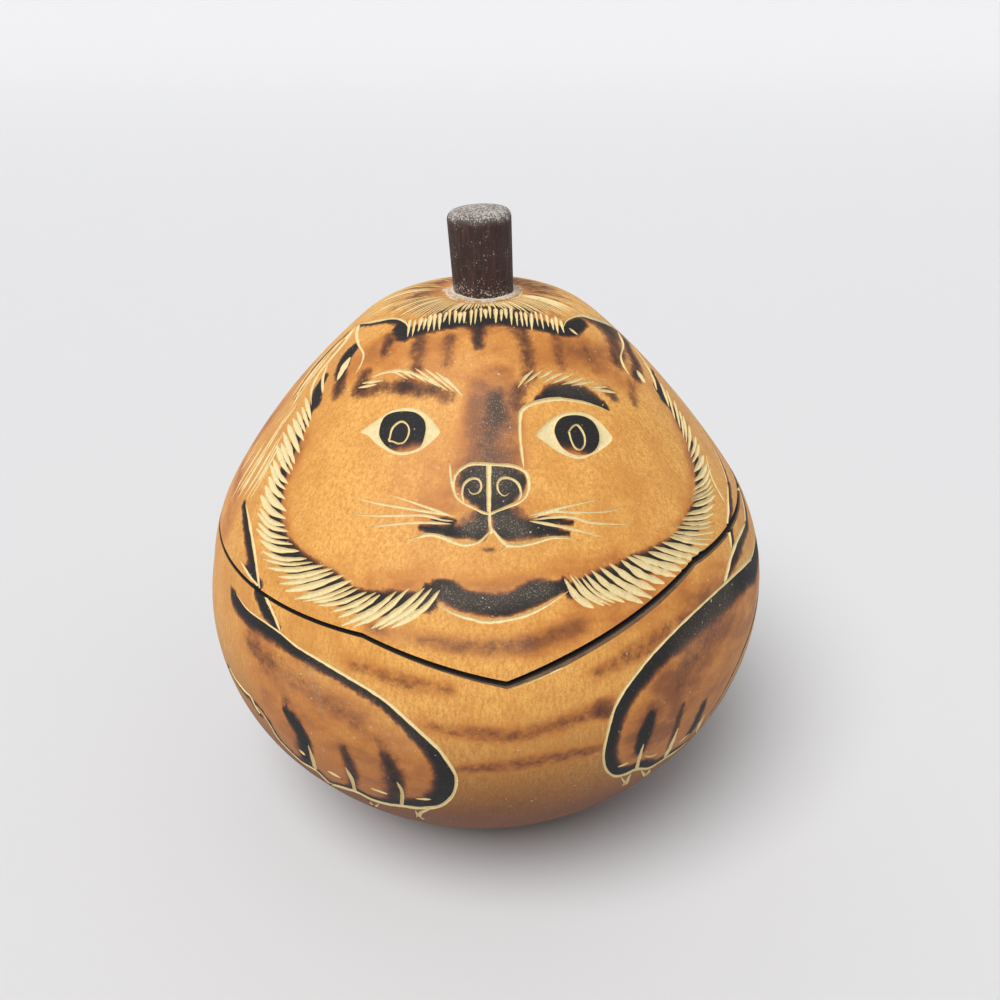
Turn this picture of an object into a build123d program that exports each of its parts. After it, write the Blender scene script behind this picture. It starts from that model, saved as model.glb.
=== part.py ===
"""Carved gourd box: a hollow gourd sawn into a bowl and a lid, with a wooden peg to lift the lid by.

Sizes are in millimetres. The foot stands on z = 0, the gourd's axis is Z, and the side that
carries the carved face looks along -Y.
"""
import os
from math import cos, radians, sin

from build123d import *

os.makedirs("parts", exist_ok=True)

# Outline of the gourd from the crown down: a flat scar where the stem was cut off, then arcs
# that run smoothly into one another. Each arc has a radius and the angle that it turns through.
stem_scar_radius = 8.0
shoulder_radius = 20.0
shoulder_turn = 41.0
flank_radius = 135.0
flank_turn = 16.0
belly_radius = 39.5
belly_turn = 64.0
base_radius = 61.0
base_turn = 34.0

# Thickness of the dried gourd's wall.
wall = 4.0

# Saw cut between bowl and lid. It is level on the left and, higher up, on the right. In front
# a V-shaped key hangs down between the two, and behind they are joined by a straight slope.
seam_left_height = 59.1
seam_right_height = 63.9
key_left_x = -18.0
key_tip_x = 3.6
key_tip_drop = 5.4
key_right_x = 34.0
saw_gap = 0.8

# Wooden peg, glued into a hole through the crown with a slight lean to the left.
peg_diameter = 11.0
peg_stand = 14.6
peg_dome = 1.6
peg_rim_round = 1.2
peg_tail = 2.0
peg_tail_chamfer = 0.6
peg_lean = 3.0

# Glue: a film round the peg in its hole, and a squeezed-out collar where the peg leaves the crown.
glue_film = 0.1
collar_width = 1.1
collar_height = 0.6
collar_lip = 0.4

outline_arcs = [
    (shoulder_radius, shoulder_turn),
    (flank_radius, flank_turn),
    (belly_radius, belly_turn),
    (base_radius, base_turn),
]


def fall_of_arcs():
    """Height of the gourd: how far the outline's arcs fall from the crown to the foot."""
    heading = 0.0
    fall = 0.0
    for radius, turn in outline_arcs:
        fall += radius * (cos(radians(heading)) - cos(radians(heading + turn)))
        heading += turn
    return fall


gourd_height = fall_of_arcs()
saw_reach = 2 * gourd_height

# The peg stands on the middle of the stem scar, along its own leaning axis.
peg_radius = peg_diameter / 2
peg_hole_radius = peg_radius + glue_film
peg_up = Vector(-sin(radians(peg_lean)), 0, cos(radians(peg_lean)))
peg_seat = Plane(origin=(0, 0, gourd_height), x_dir=peg_up.cross(Vector(0, -1, 0)), z_dir=peg_up)
peg_side = Plane(origin=peg_seat.origin, x_dir=peg_seat.x_dir, z_dir=-peg_seat.y_dir)


def gourd_section(inset):
    """Half section of the gourd, drawn at a depth below its skin and closed along the axis."""
    crown_height = gourd_height - inset
    with BuildSketch(Plane.XZ) as section:
        with BuildLine():
            scar = Line((0, crown_height), (stem_scar_radius, crown_height))
            skin = scar
            for radius, turn in outline_arcs:
                skin = JernArc(skin @ 1, skin % 1, radius - inset, -turn)
            foot = Line(skin @ 1, (0, (skin @ 1).Y))
            Line(foot @ 1, scar @ 0)
        make_face()
    return section.sketch


def saw_waste(lift, waste_height, keyed):
    """Region between the saw cut, raised by lift, and waste_height, as seen from the front."""
    left = seam_left_height + lift
    right = seam_right_height + lift
    key_tip = [(key_tip_x, left - key_tip_drop)] if keyed else []
    with BuildSketch(Plane.XZ) as waste:
        with BuildLine():
            Polyline(
                (-saw_reach, left),
                (key_left_x, left),
                *key_tip,
                (key_right_x, right),
                (saw_reach, right),
                (saw_reach, waste_height),
                (-saw_reach, waste_height),
                close=True,
            )
        make_face()
    return waste.sketch


def peg_hole():
    """Round of the peg hole, with its film of glue, square to the peg's leaning axis."""
    with BuildSketch(peg_seat) as hole:
        Circle(peg_hole_radius)
    return hole.sketch


# The whole gourd as a closed shell, one wall thick, before it is sawn.
with BuildPart() as whole_gourd:
    revolve(gourd_section(0), axis=Axis.Z)
    revolve(gourd_section(wall), axis=Axis.Z, mode=Mode.SUBTRACT)

# Bowl: the lower part of the gourd, with its flat foot and the notch that takes the key.
with BuildPart() as gourd_bowl:
    add(whole_gourd.part)
    extrude(saw_waste(0, saw_reach, True), amount=saw_reach, mode=Mode.SUBTRACT)
    extrude(saw_waste(0, saw_reach, False), amount=-saw_reach, mode=Mode.SUBTRACT)
gourd_bowl.part.label = "gourd_bowl"
export_step(gourd_bowl.part, "parts/gourd_bowl.step")

# Lid: the upper part, which carries the key and the hole for the peg.
with BuildPart() as gourd_lid:
    add(whole_gourd.part)
    extrude(saw_waste(saw_gap, -saw_reach, True), amount=saw_reach, mode=Mode.SUBTRACT)
    extrude(saw_waste(saw_gap, -saw_reach, False), amount=-saw_reach, mode=Mode.SUBTRACT)
    extrude(peg_hole(), amount=peg_stand, both=True, mode=Mode.SUBTRACT)
gourd_lid.part.label = "gourd_lid"
export_step(gourd_lid.part, "parts/gourd_lid.step")

# Peg: a turned dowel with a slightly domed, rounded end and a chamfered tail inside the lid.
tail_depth = wall + peg_tail
with BuildPart() as peg:
    with BuildSketch(peg_side) as peg_section:
        with BuildLine():
            dome = TangentArc((0, peg_stand), (peg_radius, peg_stand - peg_dome), tangent=(1, 0))
            flank = Line(dome @ 1, (peg_radius, -tail_depth))
            tail = Line(flank @ 1, (0, -tail_depth))
            Line(tail @ 1, dome @ 0)
        make_face()
        fillet(peg_section.vertices().group_by(Axis.X)[-1].sort_by(Axis.Y)[-1], peg_rim_round)
        chamfer(peg_section.vertices().group_by(Axis.X)[-1].sort_by(Axis.Y)[0], peg_tail_chamfer)
    revolve(axis=Axis(peg_seat.origin, peg_up))
peg.part.label = "peg"
export_step(peg.part, "parts/peg.step")

# Glue collar: a sloping ring that sits on the stem scar round the foot of the peg.
with BuildPart() as glue_collar:
    with BuildSketch(Plane.XZ):
        with BuildLine():
            Polyline(
                (0, gourd_height),
                (peg_hole_radius + collar_width, gourd_height),
                (peg_hole_radius + collar_lip, gourd_height + collar_height),
                (0, gourd_height + collar_height),
                close=True,
            )
        make_face()
    revolve(axis=Axis.Z)
    extrude(peg_hole(), amount=peg_stand, both=True, mode=Mode.SUBTRACT)
glue_collar.part.label = "glue_collar"
export_step(glue_collar.part, "parts/glue_collar.step")
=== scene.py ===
"""Looks of the carved gourd box: carved and scorched skin, a wooden peg, a ring of glue and a studio.

The gourd is a surface of revolution. Its skin is worked out on a flat chart that keeps angles, so
that a line read off the photograph can be laid on it, given its width and cut into the skin.
Lengths are in millimetres until a mesh is made.
"""

import math
from collections import namedtuple

import bpy
import numpy as np
from mathutils.geometry import delaunay_2d_cdt
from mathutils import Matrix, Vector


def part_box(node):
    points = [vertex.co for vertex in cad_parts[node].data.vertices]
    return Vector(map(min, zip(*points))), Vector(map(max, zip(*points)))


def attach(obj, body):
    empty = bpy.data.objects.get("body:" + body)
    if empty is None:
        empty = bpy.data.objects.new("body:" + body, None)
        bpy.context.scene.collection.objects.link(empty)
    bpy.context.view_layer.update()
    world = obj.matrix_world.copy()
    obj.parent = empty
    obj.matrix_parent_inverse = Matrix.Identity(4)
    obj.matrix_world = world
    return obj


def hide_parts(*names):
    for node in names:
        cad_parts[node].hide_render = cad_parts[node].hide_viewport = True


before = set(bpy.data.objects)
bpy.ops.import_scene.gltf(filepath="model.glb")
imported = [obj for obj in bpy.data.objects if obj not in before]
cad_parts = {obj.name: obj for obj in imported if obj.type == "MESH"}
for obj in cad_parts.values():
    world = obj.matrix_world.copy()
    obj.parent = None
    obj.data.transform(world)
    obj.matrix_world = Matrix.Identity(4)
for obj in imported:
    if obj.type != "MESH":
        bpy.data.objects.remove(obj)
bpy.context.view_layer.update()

bl_info = {
    "name": "Carved gourd box",
    "version": (1, 0, 0),
    "blender": (4, 5, 0),
    "location": "View3D > Sidebar > Gourd",
    "description": "Dresses the gourd box with carved skin, a peg, a glue ring and a studio",
    "category": "Object",
}

MILLIMETRE = 0.001
GOURD_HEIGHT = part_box("gourd_lid")[1].z / MILLIMETRE

# Outline from the crown down: a flat stem scar with a hole in it, then arcs, each a radius and the degrees
# that it turns.
STEM_SCAR = 8.0
HOLE_RADIUS = 5.8
OUTLINE_ARCS = ((20.0, 41.0), (135.0, 16.0), (39.5, 64.0), (61.0, 34.0))

# Saw cut, seen from the front: level on the left, a V-shaped key, level again on the right.
SEAM_LEFT = 59.1
SEAM_RIGHT = 63.9
KEY_LEFT = -18.0
KEY_TIP = 3.6
KEY_TIP_HEIGHT = 53.7
KEY_RIGHT = 34.0
SAW_GAP = 0.8

# Camera of the photograph: place, degrees of tilt, focal length and frame in pixels, width of the sensor,
# and the middle of the gourd in pixels.
CAMERA_PLACE = np.array((2.8, -173.06, GOURD_HEIGHT + 49.81))
CAMERA_TILT = 27.5
FOCAL_PIXELS = 1030.0
FRAME_PIXELS = 1000.0
SENSOR = 36.0
GOURD_MIDDLE = np.array((488.0, 560.0))

# How much of a cut's length runs out to a point at its start and at its end.
BLUNT = (0.0, 0.0)
POINTED = (0.22, 0.22)
LEAF = (0.5, 0.5)
POINTED_END = (0.05, 0.45)
POINTED_START = (0.45, 0.05)
HAIR = (0.25, 0.42)
TOOTH = (0.12, 0.75)

# Side of a line that a scorch lies on, for someone who walks along it on the skin.
BOTH_SIDES = 0
LEFT_SIDE = 1
RIGHT_SIDE = -1

# Lines in photograph pixels that a cut and a scorch share.
LEFT_EAR_TOP = ((359, 324), (371, 322), (381, 320), (391, 318.4), (399.4, 319), (405, 322), (408, 326.5))
LEFT_FRONT = ((245.6, 503.5), (250.2, 527), (255.3, 557.6), (259.4, 587))
RIGHT_FRONT = ((727.8, 484), (728, 503), (728.2, 512), (727.3, 522))
RIGHT_REAR = ((745.3, 523), (738.5, 537), (731.5, 555), (727.2, 572))
# Cuts read off the photograph in pixels: width or widths, how the ends run out, and the line.
EAR_CUTS = {
    "left top": (2.4, POINTED, *LEFT_EAR_TOP, (408.6, 331)),
    "left inner": ((2.4, 3.8, 2.8, 2.2, 1.8), POINTED_END, (358.5, 324), (356.5, 334.6), (358.5, 344.2),
        (363.3, 353.8), (361.3, 363.5), (354.6, 375)),
    "left hair": (5.4, LEAF, (350.4, 357), (344, 367), (337.3, 380)),
    "left outer": (2.2, POINTED, (357.5, 325), (343, 344.2), (331.5, 357.7), (318, 375), (311.3, 390.4),
        (311.3, 405)),
    "left tick": ((1.4, 2.6, 3.2), POINTED, (328, 363.5), (323, 377), (322.5, 393)),
    "left fleck": (4.0, LEAF, (354, 328.5), (345, 339.6)),
    "left edge": (1.4, POINTED, (356.5, 326), (337.3, 345.4), (316, 370), (302.7, 386.5), (293, 404)),
    "left edge low": (1.3, POINTED, (334, 344), (312, 368), (292, 396)),
    "right top": ((2.4, 2.6, 3.0, 3.4, 3.4, 3.0), POINTED, (563, 328), (566.3, 320.7), (574, 316.3),
        (582.7, 315.3), (593.6, 318.5), (606.6, 322.9), (617.5, 330.5)),
    "right inner": (2.1, POINTED, (617.5, 330.5), (622, 340.3), (623, 346.8), (620.8, 356.6), (624, 366.4),
        (629.5, 375)),
    "right outer": (1.5, POINTED, (617.5, 330.5), (631, 344), (642.7, 359), (651.8, 372.7)),
    "right hair": (4.2, LEAF, (637, 370), (645, 383)),
    "right edge": (2.2, POINTED, (643.7, 362), (652, 375), (656.8, 390)),
    "right fleck": (2.2, LEAF, (569, 328), (578, 335)),
}
BROW_CUTS = (
    ((358, 387.8), (377, 384.2)),
    ((361.6, 383.2), (383.6, 380.1)),
    ((371.3, 377), (391.2, 371.4), (407.6, 379)),
    ((381, 373), (399.4, 370.4), (414.7, 379)),
    ((395.3, 370.4), (410.6, 372.4), (426.9, 382.7)),
    ((401.4, 368.9), (418.8, 375.5), (440.2, 387.2)),
    ((414.7, 367.9), (430, 378.6), (447.9, 390.8)),
    ((423.9, 367.9), (438.2, 378.6), (454.5, 391.8)),
    ((435, 371.4), (447, 381), (458, 391)),
    ((445.3, 376.5), (454.5, 386.7), (463.2, 396.9)),
    ((534, 369.4), (523.9, 378.6), (517.8, 387.8)),
    ((542.8, 369.4), (531, 378.6), (523.9, 384.7)),
    ((554, 369.4), (545.3, 374.5), (537.1, 379)),
    ((564.2, 372.4), (553.5, 376.5), (541.7, 383.2)),
    ((574.9, 372.4), (561.6, 378.6), (550.4, 384.2)),
    ((586.1, 376.5), (571.8, 381.6), (561.1, 384.7)),
    ((595.8, 381), (582, 383.2), (570.8, 385.7)),
    ((607.6, 386.7), (595.3, 386.7), (586, 386.7)),
    ((616.7, 392.9), (602.4, 390.3), (590.2, 388.8)),
)
FACE_CUTS = {
    "eyelid crease": ((2.0, 3.2, 3.6, 4.2, 4.2, 4.2, 3.6, 2.4), POINTED_END, (524, 468.6), (521.8, 453.4),
        (519.8, 432.7), (520.3, 415.3), (522.9, 409.2), (531, 404), (543.3, 400.5), (556.5, 399),
        (566.7, 399.5), (582, 402), (595.3, 405.6), (609.6, 411.2)),
    "left pupil ring": (1.9, BLUNT, (389.6, 438), (392, 429), (397, 423.5), (402.3, 421.6), (407, 424.5),
        (409, 430), (407.5, 437), (403.5, 442.5), (398, 443.6)),
    "left pupil flick": (1.9, BLUNT, (389.6, 438), (388.9, 440.6), (393, 441.6), (398, 443.6)),
    "right pupil ring": (1.9, BLUNT, (568.8, 431.5), (572, 427), (577, 424.9), (581.6, 430), (584.6, 437),
        (584.4, 444.6), (580.6, 449.6), (575.4, 448), (571.4, 441), (568.8, 431.5)),
    "nose outline": ((3.4, 3.6, 3.6, 3.4, 3.0, 3.0, 3.2), BLUNT, (454.8, 475.7), (460.2, 469.5),
        (469, 464.6), (478, 463.7), (486, 464), (495.9, 464.6), (509.3, 465.4), (518.2, 467.7),
        (525.4, 472), (528.5, 479.3), (528.5, 488.2), (525.4, 496.3), (518.2, 502.5), (509.3, 506),
        (495.9, 511.4), (489.6, 513.7), (482.5, 512.3), (473.6, 507.9), (462.9, 502.5), (455.7, 495.4),
        (453, 484.6), (454.8, 475.7)),
    "nose left flick": (2.6, POINTED, (449.5, 462), (450.4, 475.7), (452, 486.4), (455.7, 496.3),
        (462, 502.5)),
    "nose middle": (4.8, BLUNT, (488.8, 466.5), (488.8, 510)),
    "left nostril": (2.7, POINTED_END, (463.8, 501.6), (462, 493.6), (463.8, 484.6), (469, 479.7),
        (475.4, 478.4), (479.8, 481), (481.2, 486.4), (479, 491.8), (473.6, 494), (469.6, 491.8),
        (468.7, 488.2)),
    "right nostril": (2.7, POINTED_END, (518.2, 500.7), (520.9, 493.6), (519, 485.5), (514.6, 480.6),
        (508.4, 478), (501.3, 478.4), (497.7, 482.9), (497.7, 489), (500.4, 493.6), (504.8, 495.8),
        (509.7, 492.7)),
    "philtrum": ((3.0, 3.4, 4.2), BLUNT, (489.6, 511), (489.6, 523), (491.4, 532)),
    "left mouth": ((2.2, 4.6, 5.2, 4.6, 3.6, 3.2), POINTED, (407, 539.4), (416.7, 537.3), (426.9, 534.8),
        (437.1, 535.8), (447.3, 539.4), (460.6, 544.5), (471.8, 544), (481, 540.4), (491, 530)),
    "right mouth": ((3.2, 3.4, 4.2, 4.4, 4.2, 2.2), POINTED_END, (490.8, 527), (497.7, 536.4),
        (504.8, 543.6), (509.3, 545.4), (520, 545.5), (535.3, 542.4), (550.6, 537.9), (565.9, 537.9),
        (582.2, 540.4)),
    "lower lip": (2.4, POINTED_START, (500.4, 550.7), (505.7, 547), (509.3, 545.4)),
    "chin": ((3.0, 4.2, 4.6, 4.6, 4.2, 3.4, 2.6), POINTED, (436, 603.7), (452.4, 612.9), (467.8, 618),
        (489, 622), (520, 617), (540.4, 608.8), (558.8, 597.6), (570, 590)),
}
WHISKER_CUTS = (
    ((352, 496.5), (379, 503.7), (421.8, 510.8), (452.4, 515.9)),
    ((389.2, 494.5), (416.7, 503.7), (437, 510.8), (455.5, 517.4)),
    ((346.8, 514), (381, 515.9), (421.8, 515.4), (442.2, 520), (453.5, 521)),
    ((365.2, 528), (391.2, 524.6), (416.7, 522.6), (437.1, 523), (451.4, 524)),
    ((599.6, 499), (576.1, 504.2), (552.7, 509.8), (528.7, 515.9)),
    ((625.1, 505.7), (606.7, 511.3), (577.1, 512.3), (552.7, 511.8), (530.2, 518)),
    ((634.3, 524.6), (591.4, 522.6), (573, 517.4), (554.7, 517), (532.2, 520)),
    ((604.7, 537.3), (577.1, 530.2), (550.6, 524.6), (529.2, 521)),
)

# Hairs of the mane to follow, from the ears to the chin: outer end, middle and inner end.
LEFT_MANE = (
    ((306, 398), (308.5, 408), (311, 418.5)), ((293, 419), (298, 430), (303, 440)),
    ((284, 433), (289, 447), (294, 461)), ((273, 456), (279.3, 473), (287, 481)),
    ((265, 485), (272, 499), (284, 509)), ((259.4, 507), (270, 520), (285, 525)),
    ((257.3, 529.5), (270.6, 540.2), (292, 544.3)), ((262, 550), (281, 558), (307, 558)),
    ((268.6, 567.8), (293, 569.8), (320.6, 565.7)), ((283, 584), (306, 581), (333, 573)),
    ((296, 598), (323, 591), (350, 580)), ((320, 605), (342, 602), (364, 593)),
    ((340, 617), (363, 607), (382, 594)), ((348.7, 628.7), (383, 611), (405, 591.5)),
    ((375, 626), (402, 608), (421, 591)), ((391, 627.7), (423, 609), (439.5, 590.4)),
)
RIGHT_MANE = (
    ((661, 383), (666, 396), (670, 409)), ((674, 399.4), (677.6, 414.7), (680, 427)),
    ((684, 418), (686, 430), (687, 444)), ((695, 435), (694, 445.3), (690.8, 455.5)),
    ((703.6, 454.5), (700, 464), (694, 472)), ((709.7, 469.8), (704, 482), (693, 490)),
    ((714.8, 488.2), (707, 495), (693, 501)), ((713.3, 504), (704, 510), (687, 514)),
    ((712.8, 519.8), (700, 523), (681, 523)), ((712, 532), (695, 534), (674, 532)),
    ((711, 545), (691, 542), (670, 537)), ((700, 558), (678, 553), (658, 547)),
    ((684, 569), (660, 563), (637, 556)), ((667, 584), (641, 574), (620, 559)),
    ((650, 597), (624, 585), (602, 569)), ((637, 601), (610, 588), (591, 571)),
    ((594, 608), (577, 597), (564.5, 579)),
)
# How many hairs there are from each of those to the next.
LEFT_MANE_STEPS = (3, 2, 3, 3, 2, 3, 2, 2, 2, 2, 3, 2, 2, 1, 2)
RIGHT_MANE_STEPS = (2, 2, 2, 2, 2, 3, 2, 2, 2, 2, 2, 2, 2, 2, 1, 5)
MANE_SLIT = 0.7
SIDE_SCRATCHES = (
    ((284, 430), (264.5, 469), (246, 500)), ((273.7, 447), (246, 493)), ((265.5, 453.5), (240, 491)),
    ((279, 437), (262, 468), (243, 497)), ((262, 447), (238, 485)), ((257, 447), (240, 472)),
    ((281, 442), (262, 478), (250, 499)), ((270, 452), (252, 484)), ((268, 446), (247, 482), (237, 500)),
    ((276, 452), (258, 482)), ((259, 440), (243, 466)), ((262, 457), (244, 489)),
    ((350, 333), (326, 356), (304, 384)), ((344, 337), (318, 365), (297, 395)),
    ((338, 343), (312, 372), (289, 406)), ((330, 355), (308, 382), (288, 412)),
    ((298, 402), (280, 428), (262, 458)), ((290, 410), (272, 438), (254, 466)),
    ((281, 424), (258, 460), (236, 494)), ((266, 440), (246, 472), (231, 500)),
    ((706, 455.5), (712, 478), (725.5, 503.5)), ((712, 480), (723.5, 499.4)),
)
FLANK_CUTS = {
    "left front": (2.5, POINTED, *LEFT_FRONT, (262, 594)),
    "left bowl": (2.8, POINTED, (263, 592), (265, 596.3), (271, 608.6), (276.2, 620.8), (280.3, 632)),
    "left rear": (2.8, POINTED_START, (240, 560.6), (250.2, 577), (258.4, 586)),
    "right front": (2.4, POINTED, *RIGHT_FRONT, (728.7, 528), (730.4, 539), (731.5, 549)),
    "right seam": (1.7, POINTED, (727, 530), (715, 545.5), (703, 559), (695, 566.5)),
    "right rear": (3.2, (0.1, 0.05), *RIGHT_REAR, (724.3, 582.5)),
    "key edge": (1.5, POINTED, (508, 690.4), (524, 684.6), (548, 674.4), (574, 662.6)),
}
LEFT_PAW = ((237, 595.3), (247.7, 609.6), (266, 622.9), (280.3, 633), (296.6, 646.3), (317, 658.6),
    (337.4, 670.8), (358, 683), (371.4, 691.2), (388.8, 703.5), (407, 719.8), (422.4, 734), (437.8, 748.4),
    (447, 760.6), (453, 769.8), (456, 777), (456, 786), (452, 796.3), (443, 804.5), (432.7, 807.6),
    (417.3, 808), (402, 806), (386.7, 804), (371.4, 799.4), (357, 792.2), (340.8, 787), (329.6, 783),
    (316.3, 770.8), (300, 760.6), (279.3, 740), (270, 725), (261.4, 711.6), (256.4, 706))
LEFT_PAW_HEEL = ((260, 713.7), (254.8, 705.5), (250.2, 696.3), (244.6, 691), (235.4, 679), (228.8, 666.7))
RIGHT_PAW = ((751.3, 557.8), (739.2, 569.8), (725.5, 583), (704.8, 602), (684, 621.5), (664.6, 641),
    (649.7, 657), (636, 674.3), (623.3, 691.5), (615.3, 706.5), (610.8, 720), (607, 736), (604, 750),
    (604, 762.5), (607.6, 771.7), (615.6, 776.3), (626, 774), (636.3, 769.4), (649, 768.2), (660.4, 761.4),
    (667.3, 756.8), (677.6, 750), (686.8, 741.8))
PAW_CUTS = {
    "left paw": ((3.0, 2.8, 3.0, 3.4, 3.6, 3.4, 3.2, 3.0, 3.0, 2.8, 2.7, 2.5), POINTED, *LEFT_PAW),
    "left heel": (1.7, BLUNT, *LEFT_PAW_HEEL),
    "right paw": ((3.4, 2.5, 2.4, 2.7, 3.0, 3.2, 3.1, 2.8, 2.5, 2.4, 2.3), BLUNT, *RIGHT_PAW),
    "left toe 1": (3.2, POINTED_START, (308.2, 745.3), (312.2, 757.6), (315.3, 769.5)),
    "left toe 2": (3.4, POINTED_START, (345.4, 767.2), (352, 780), (355, 792)),
    "left toe 3": (3.8, POINTED_START, (397, 782), (402, 792.2), (401.5, 806)),
    "left nail 1": (2.6, LEAF, (299, 749.4), (305, 755.5)),
    "left nail 2": (2.6, LEAF, (327, 770.8), (340.8, 778)),
    "left nail 3": (2.6, LEAF, (370.4, 788.2), (387.7, 794.2)),
    "left nail 4": (2.6, LEAF, (415.3, 798.7), (431, 799.4)),
    "left claw": (3.6, LEAF, (415.3, 810), (419, 817.8), (420.5, 813), (430.6, 808.6)),
    "left claw 2": (3.4, LEAF, (370, 802), (374.5, 806.6), (379, 804)),
    "left claw 3": (3.0, LEAF, (326.6, 781), (331, 785.2), (335, 785)),
    "right toe 1": (3.2, POINTED_START, (643.7, 744), (639.7, 756.8), (636.3, 770)),
    "right toe 2": (3.0, POINTED_START, (678.2, 728), (671.8, 744), (665, 757.5)),
    "right toe 3": (2.4, POINTED_START, (705, 714.3), (700.5, 722.3), (696, 733.5)),
    "right nail 1": (2.4, LEAF, (617.5, 767), (629.2, 762.6)),
    "right nail 2": (2.4, LEAF, (644.4, 756), (651, 756.4), (658, 753.6)),
    "right nail 3": (2.2, LEAF, (679, 742.8), (690, 733.6)),
    "right nail 4": (2.0, LEAF, (704, 722.2), (711, 714.6)),
    "right claw 1": (3.4, LEAF, (621, 777), (626, 783.4), (628, 779), (630.8, 774)),
    "right claw 2": (3.0, LEAF, (641, 770), (645.4, 775.4), (650, 769.6)),
}
# Cuts on the sides, out of the photograph's sight: width, how the ends run out, radii of the scorch on the
# left, if any, in millimetres, and the line as azimuths and distances walked from the crown.
RIGHT_ELBOW = ((47, 98.8), (50, 97.2), (52.6, 94.6), (55, 91.4), (58, 88.2), (62.5, 85.2), (69, 82.6),
    (77, 80.6), (84, 77.8), (87, 74.4), (84, 71.6), (77, 70.4), (68.9, 70.1))
SIDE_CUTS = {
    "right elbow": (0.5, BLUNT, (1.4, 1.4, 1.7, 2.6, 3.8, 5.0, 6.2), *RIGHT_ELBOW),
    "right rear": (0.55, POINTED_START, (0.4, 1.6, 2.2), (96, 55.0), (88, 60.4), (80, 63.4), (73, 64.9)),
    "right front": (0.5, POINTED_START, (0.3, 1.0, 1.5), (92, 50.0), (84, 54.6), (76, 57.9)),
    "left heel": (0.5, POINTED_END, (1.4, 1.0, 0.3), (-60.7, 88.3), (-66, 86.8), (-72, 83.4)),
    "left tuft 1": (0.4, LEAF, (), (-74, 40.5), (-77, 45.5)),
    "left tuft 2": (0.4, LEAF, (), (-77, 39.0), (-80.5, 46.0)),
    "left tuft 3": (0.4, LEAF, (), (-80.5, 41.0), (-84, 47.0)),
}
# Lines in photograph pixels between which the fringe's teeth hang, how many there are, and the hairline.
FRINGE_TOP = ((410, 320.5), (440, 312.5), (470, 308.5), (492, 307), (515, 309.5), (540, 313.5),
    (560, 318.5))
FRINGE_BOTTOM = ((410, 335), (440, 328.5), (470, 325.5), (492, 322), (515, 325), (540, 330), (560, 335))
FRINGE_TEETH = 31
HAIRLINE = ((345, 334), (359, 322), (391, 316.5), (408, 321), (440, 313), (470, 309.5), (492, 308),
    (515, 310.5), (540, 314.5), (566, 318), (582, 313), (606, 320), (632, 341))

# Scraped and blackened places, as closed outlines in photograph pixels.
LEFT_EYE = ((360.6, 431.6), (375.9, 420.4), (386.1, 413.3), (396.3, 408.7), (409.6, 407.1), (419.8, 409.7),
    (430, 417.3), (438.2, 427.6), (439.7, 433.7), (428, 444.9), (416.7, 452), (400.4, 455.4), (387, 451),
    (375.9, 443.9), (367.8, 435.7))
LEFT_IRIS = ((379.2, 432.7), (381.1, 423.1), (385.9, 415.8), (395.5, 412), (407, 411.2), (416.5, 413.2),
    (423.6, 419.3), (425.7, 427), (424.6, 435.6), (421.8, 444.2), (417.4, 448.4), (408.9, 451.2),
    (399.3, 451.8), (391.7, 449.6), (385, 444.8), (380.6, 438.6))
RIGHT_EYE = ((536, 434.7), (543.3, 425.5), (551.4, 418.4), (561.6, 413.3), (574.9, 411.2), (587, 413.3),
    (597.3, 419.4), (605.5, 427.6), (612.7, 438.3), (605.5, 446.9), (592.2, 455), (580, 459),
    (567.8, 456.6), (556.5, 451), (545.3, 442.9))
RIGHT_IRIS = ((554.7, 432.7), (556.2, 424), (561.9, 417.6), (571.5, 415.2), (583, 416.1), (592.5, 421.2),
    (598.3, 430.8), (599.2, 440.4), (596.8, 447.4), (592.6, 452), (586.7, 454.4), (577.2, 455),
    (567.7, 451.6), (560, 444.6))
NOSE = ((488.8, 465.5), (505.3, 467.2), (516, 470.7), (523, 476), (525.4, 483), (521.5, 489), (518.3, 495),
    (510, 503), (500.6, 506.7), (488.8, 509.5), (478.2, 505.5), (470, 499.6), (463.8, 494), (462.6, 486),
    (461.5, 478.4), (464.6, 470.7), (473.5, 466))

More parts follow.
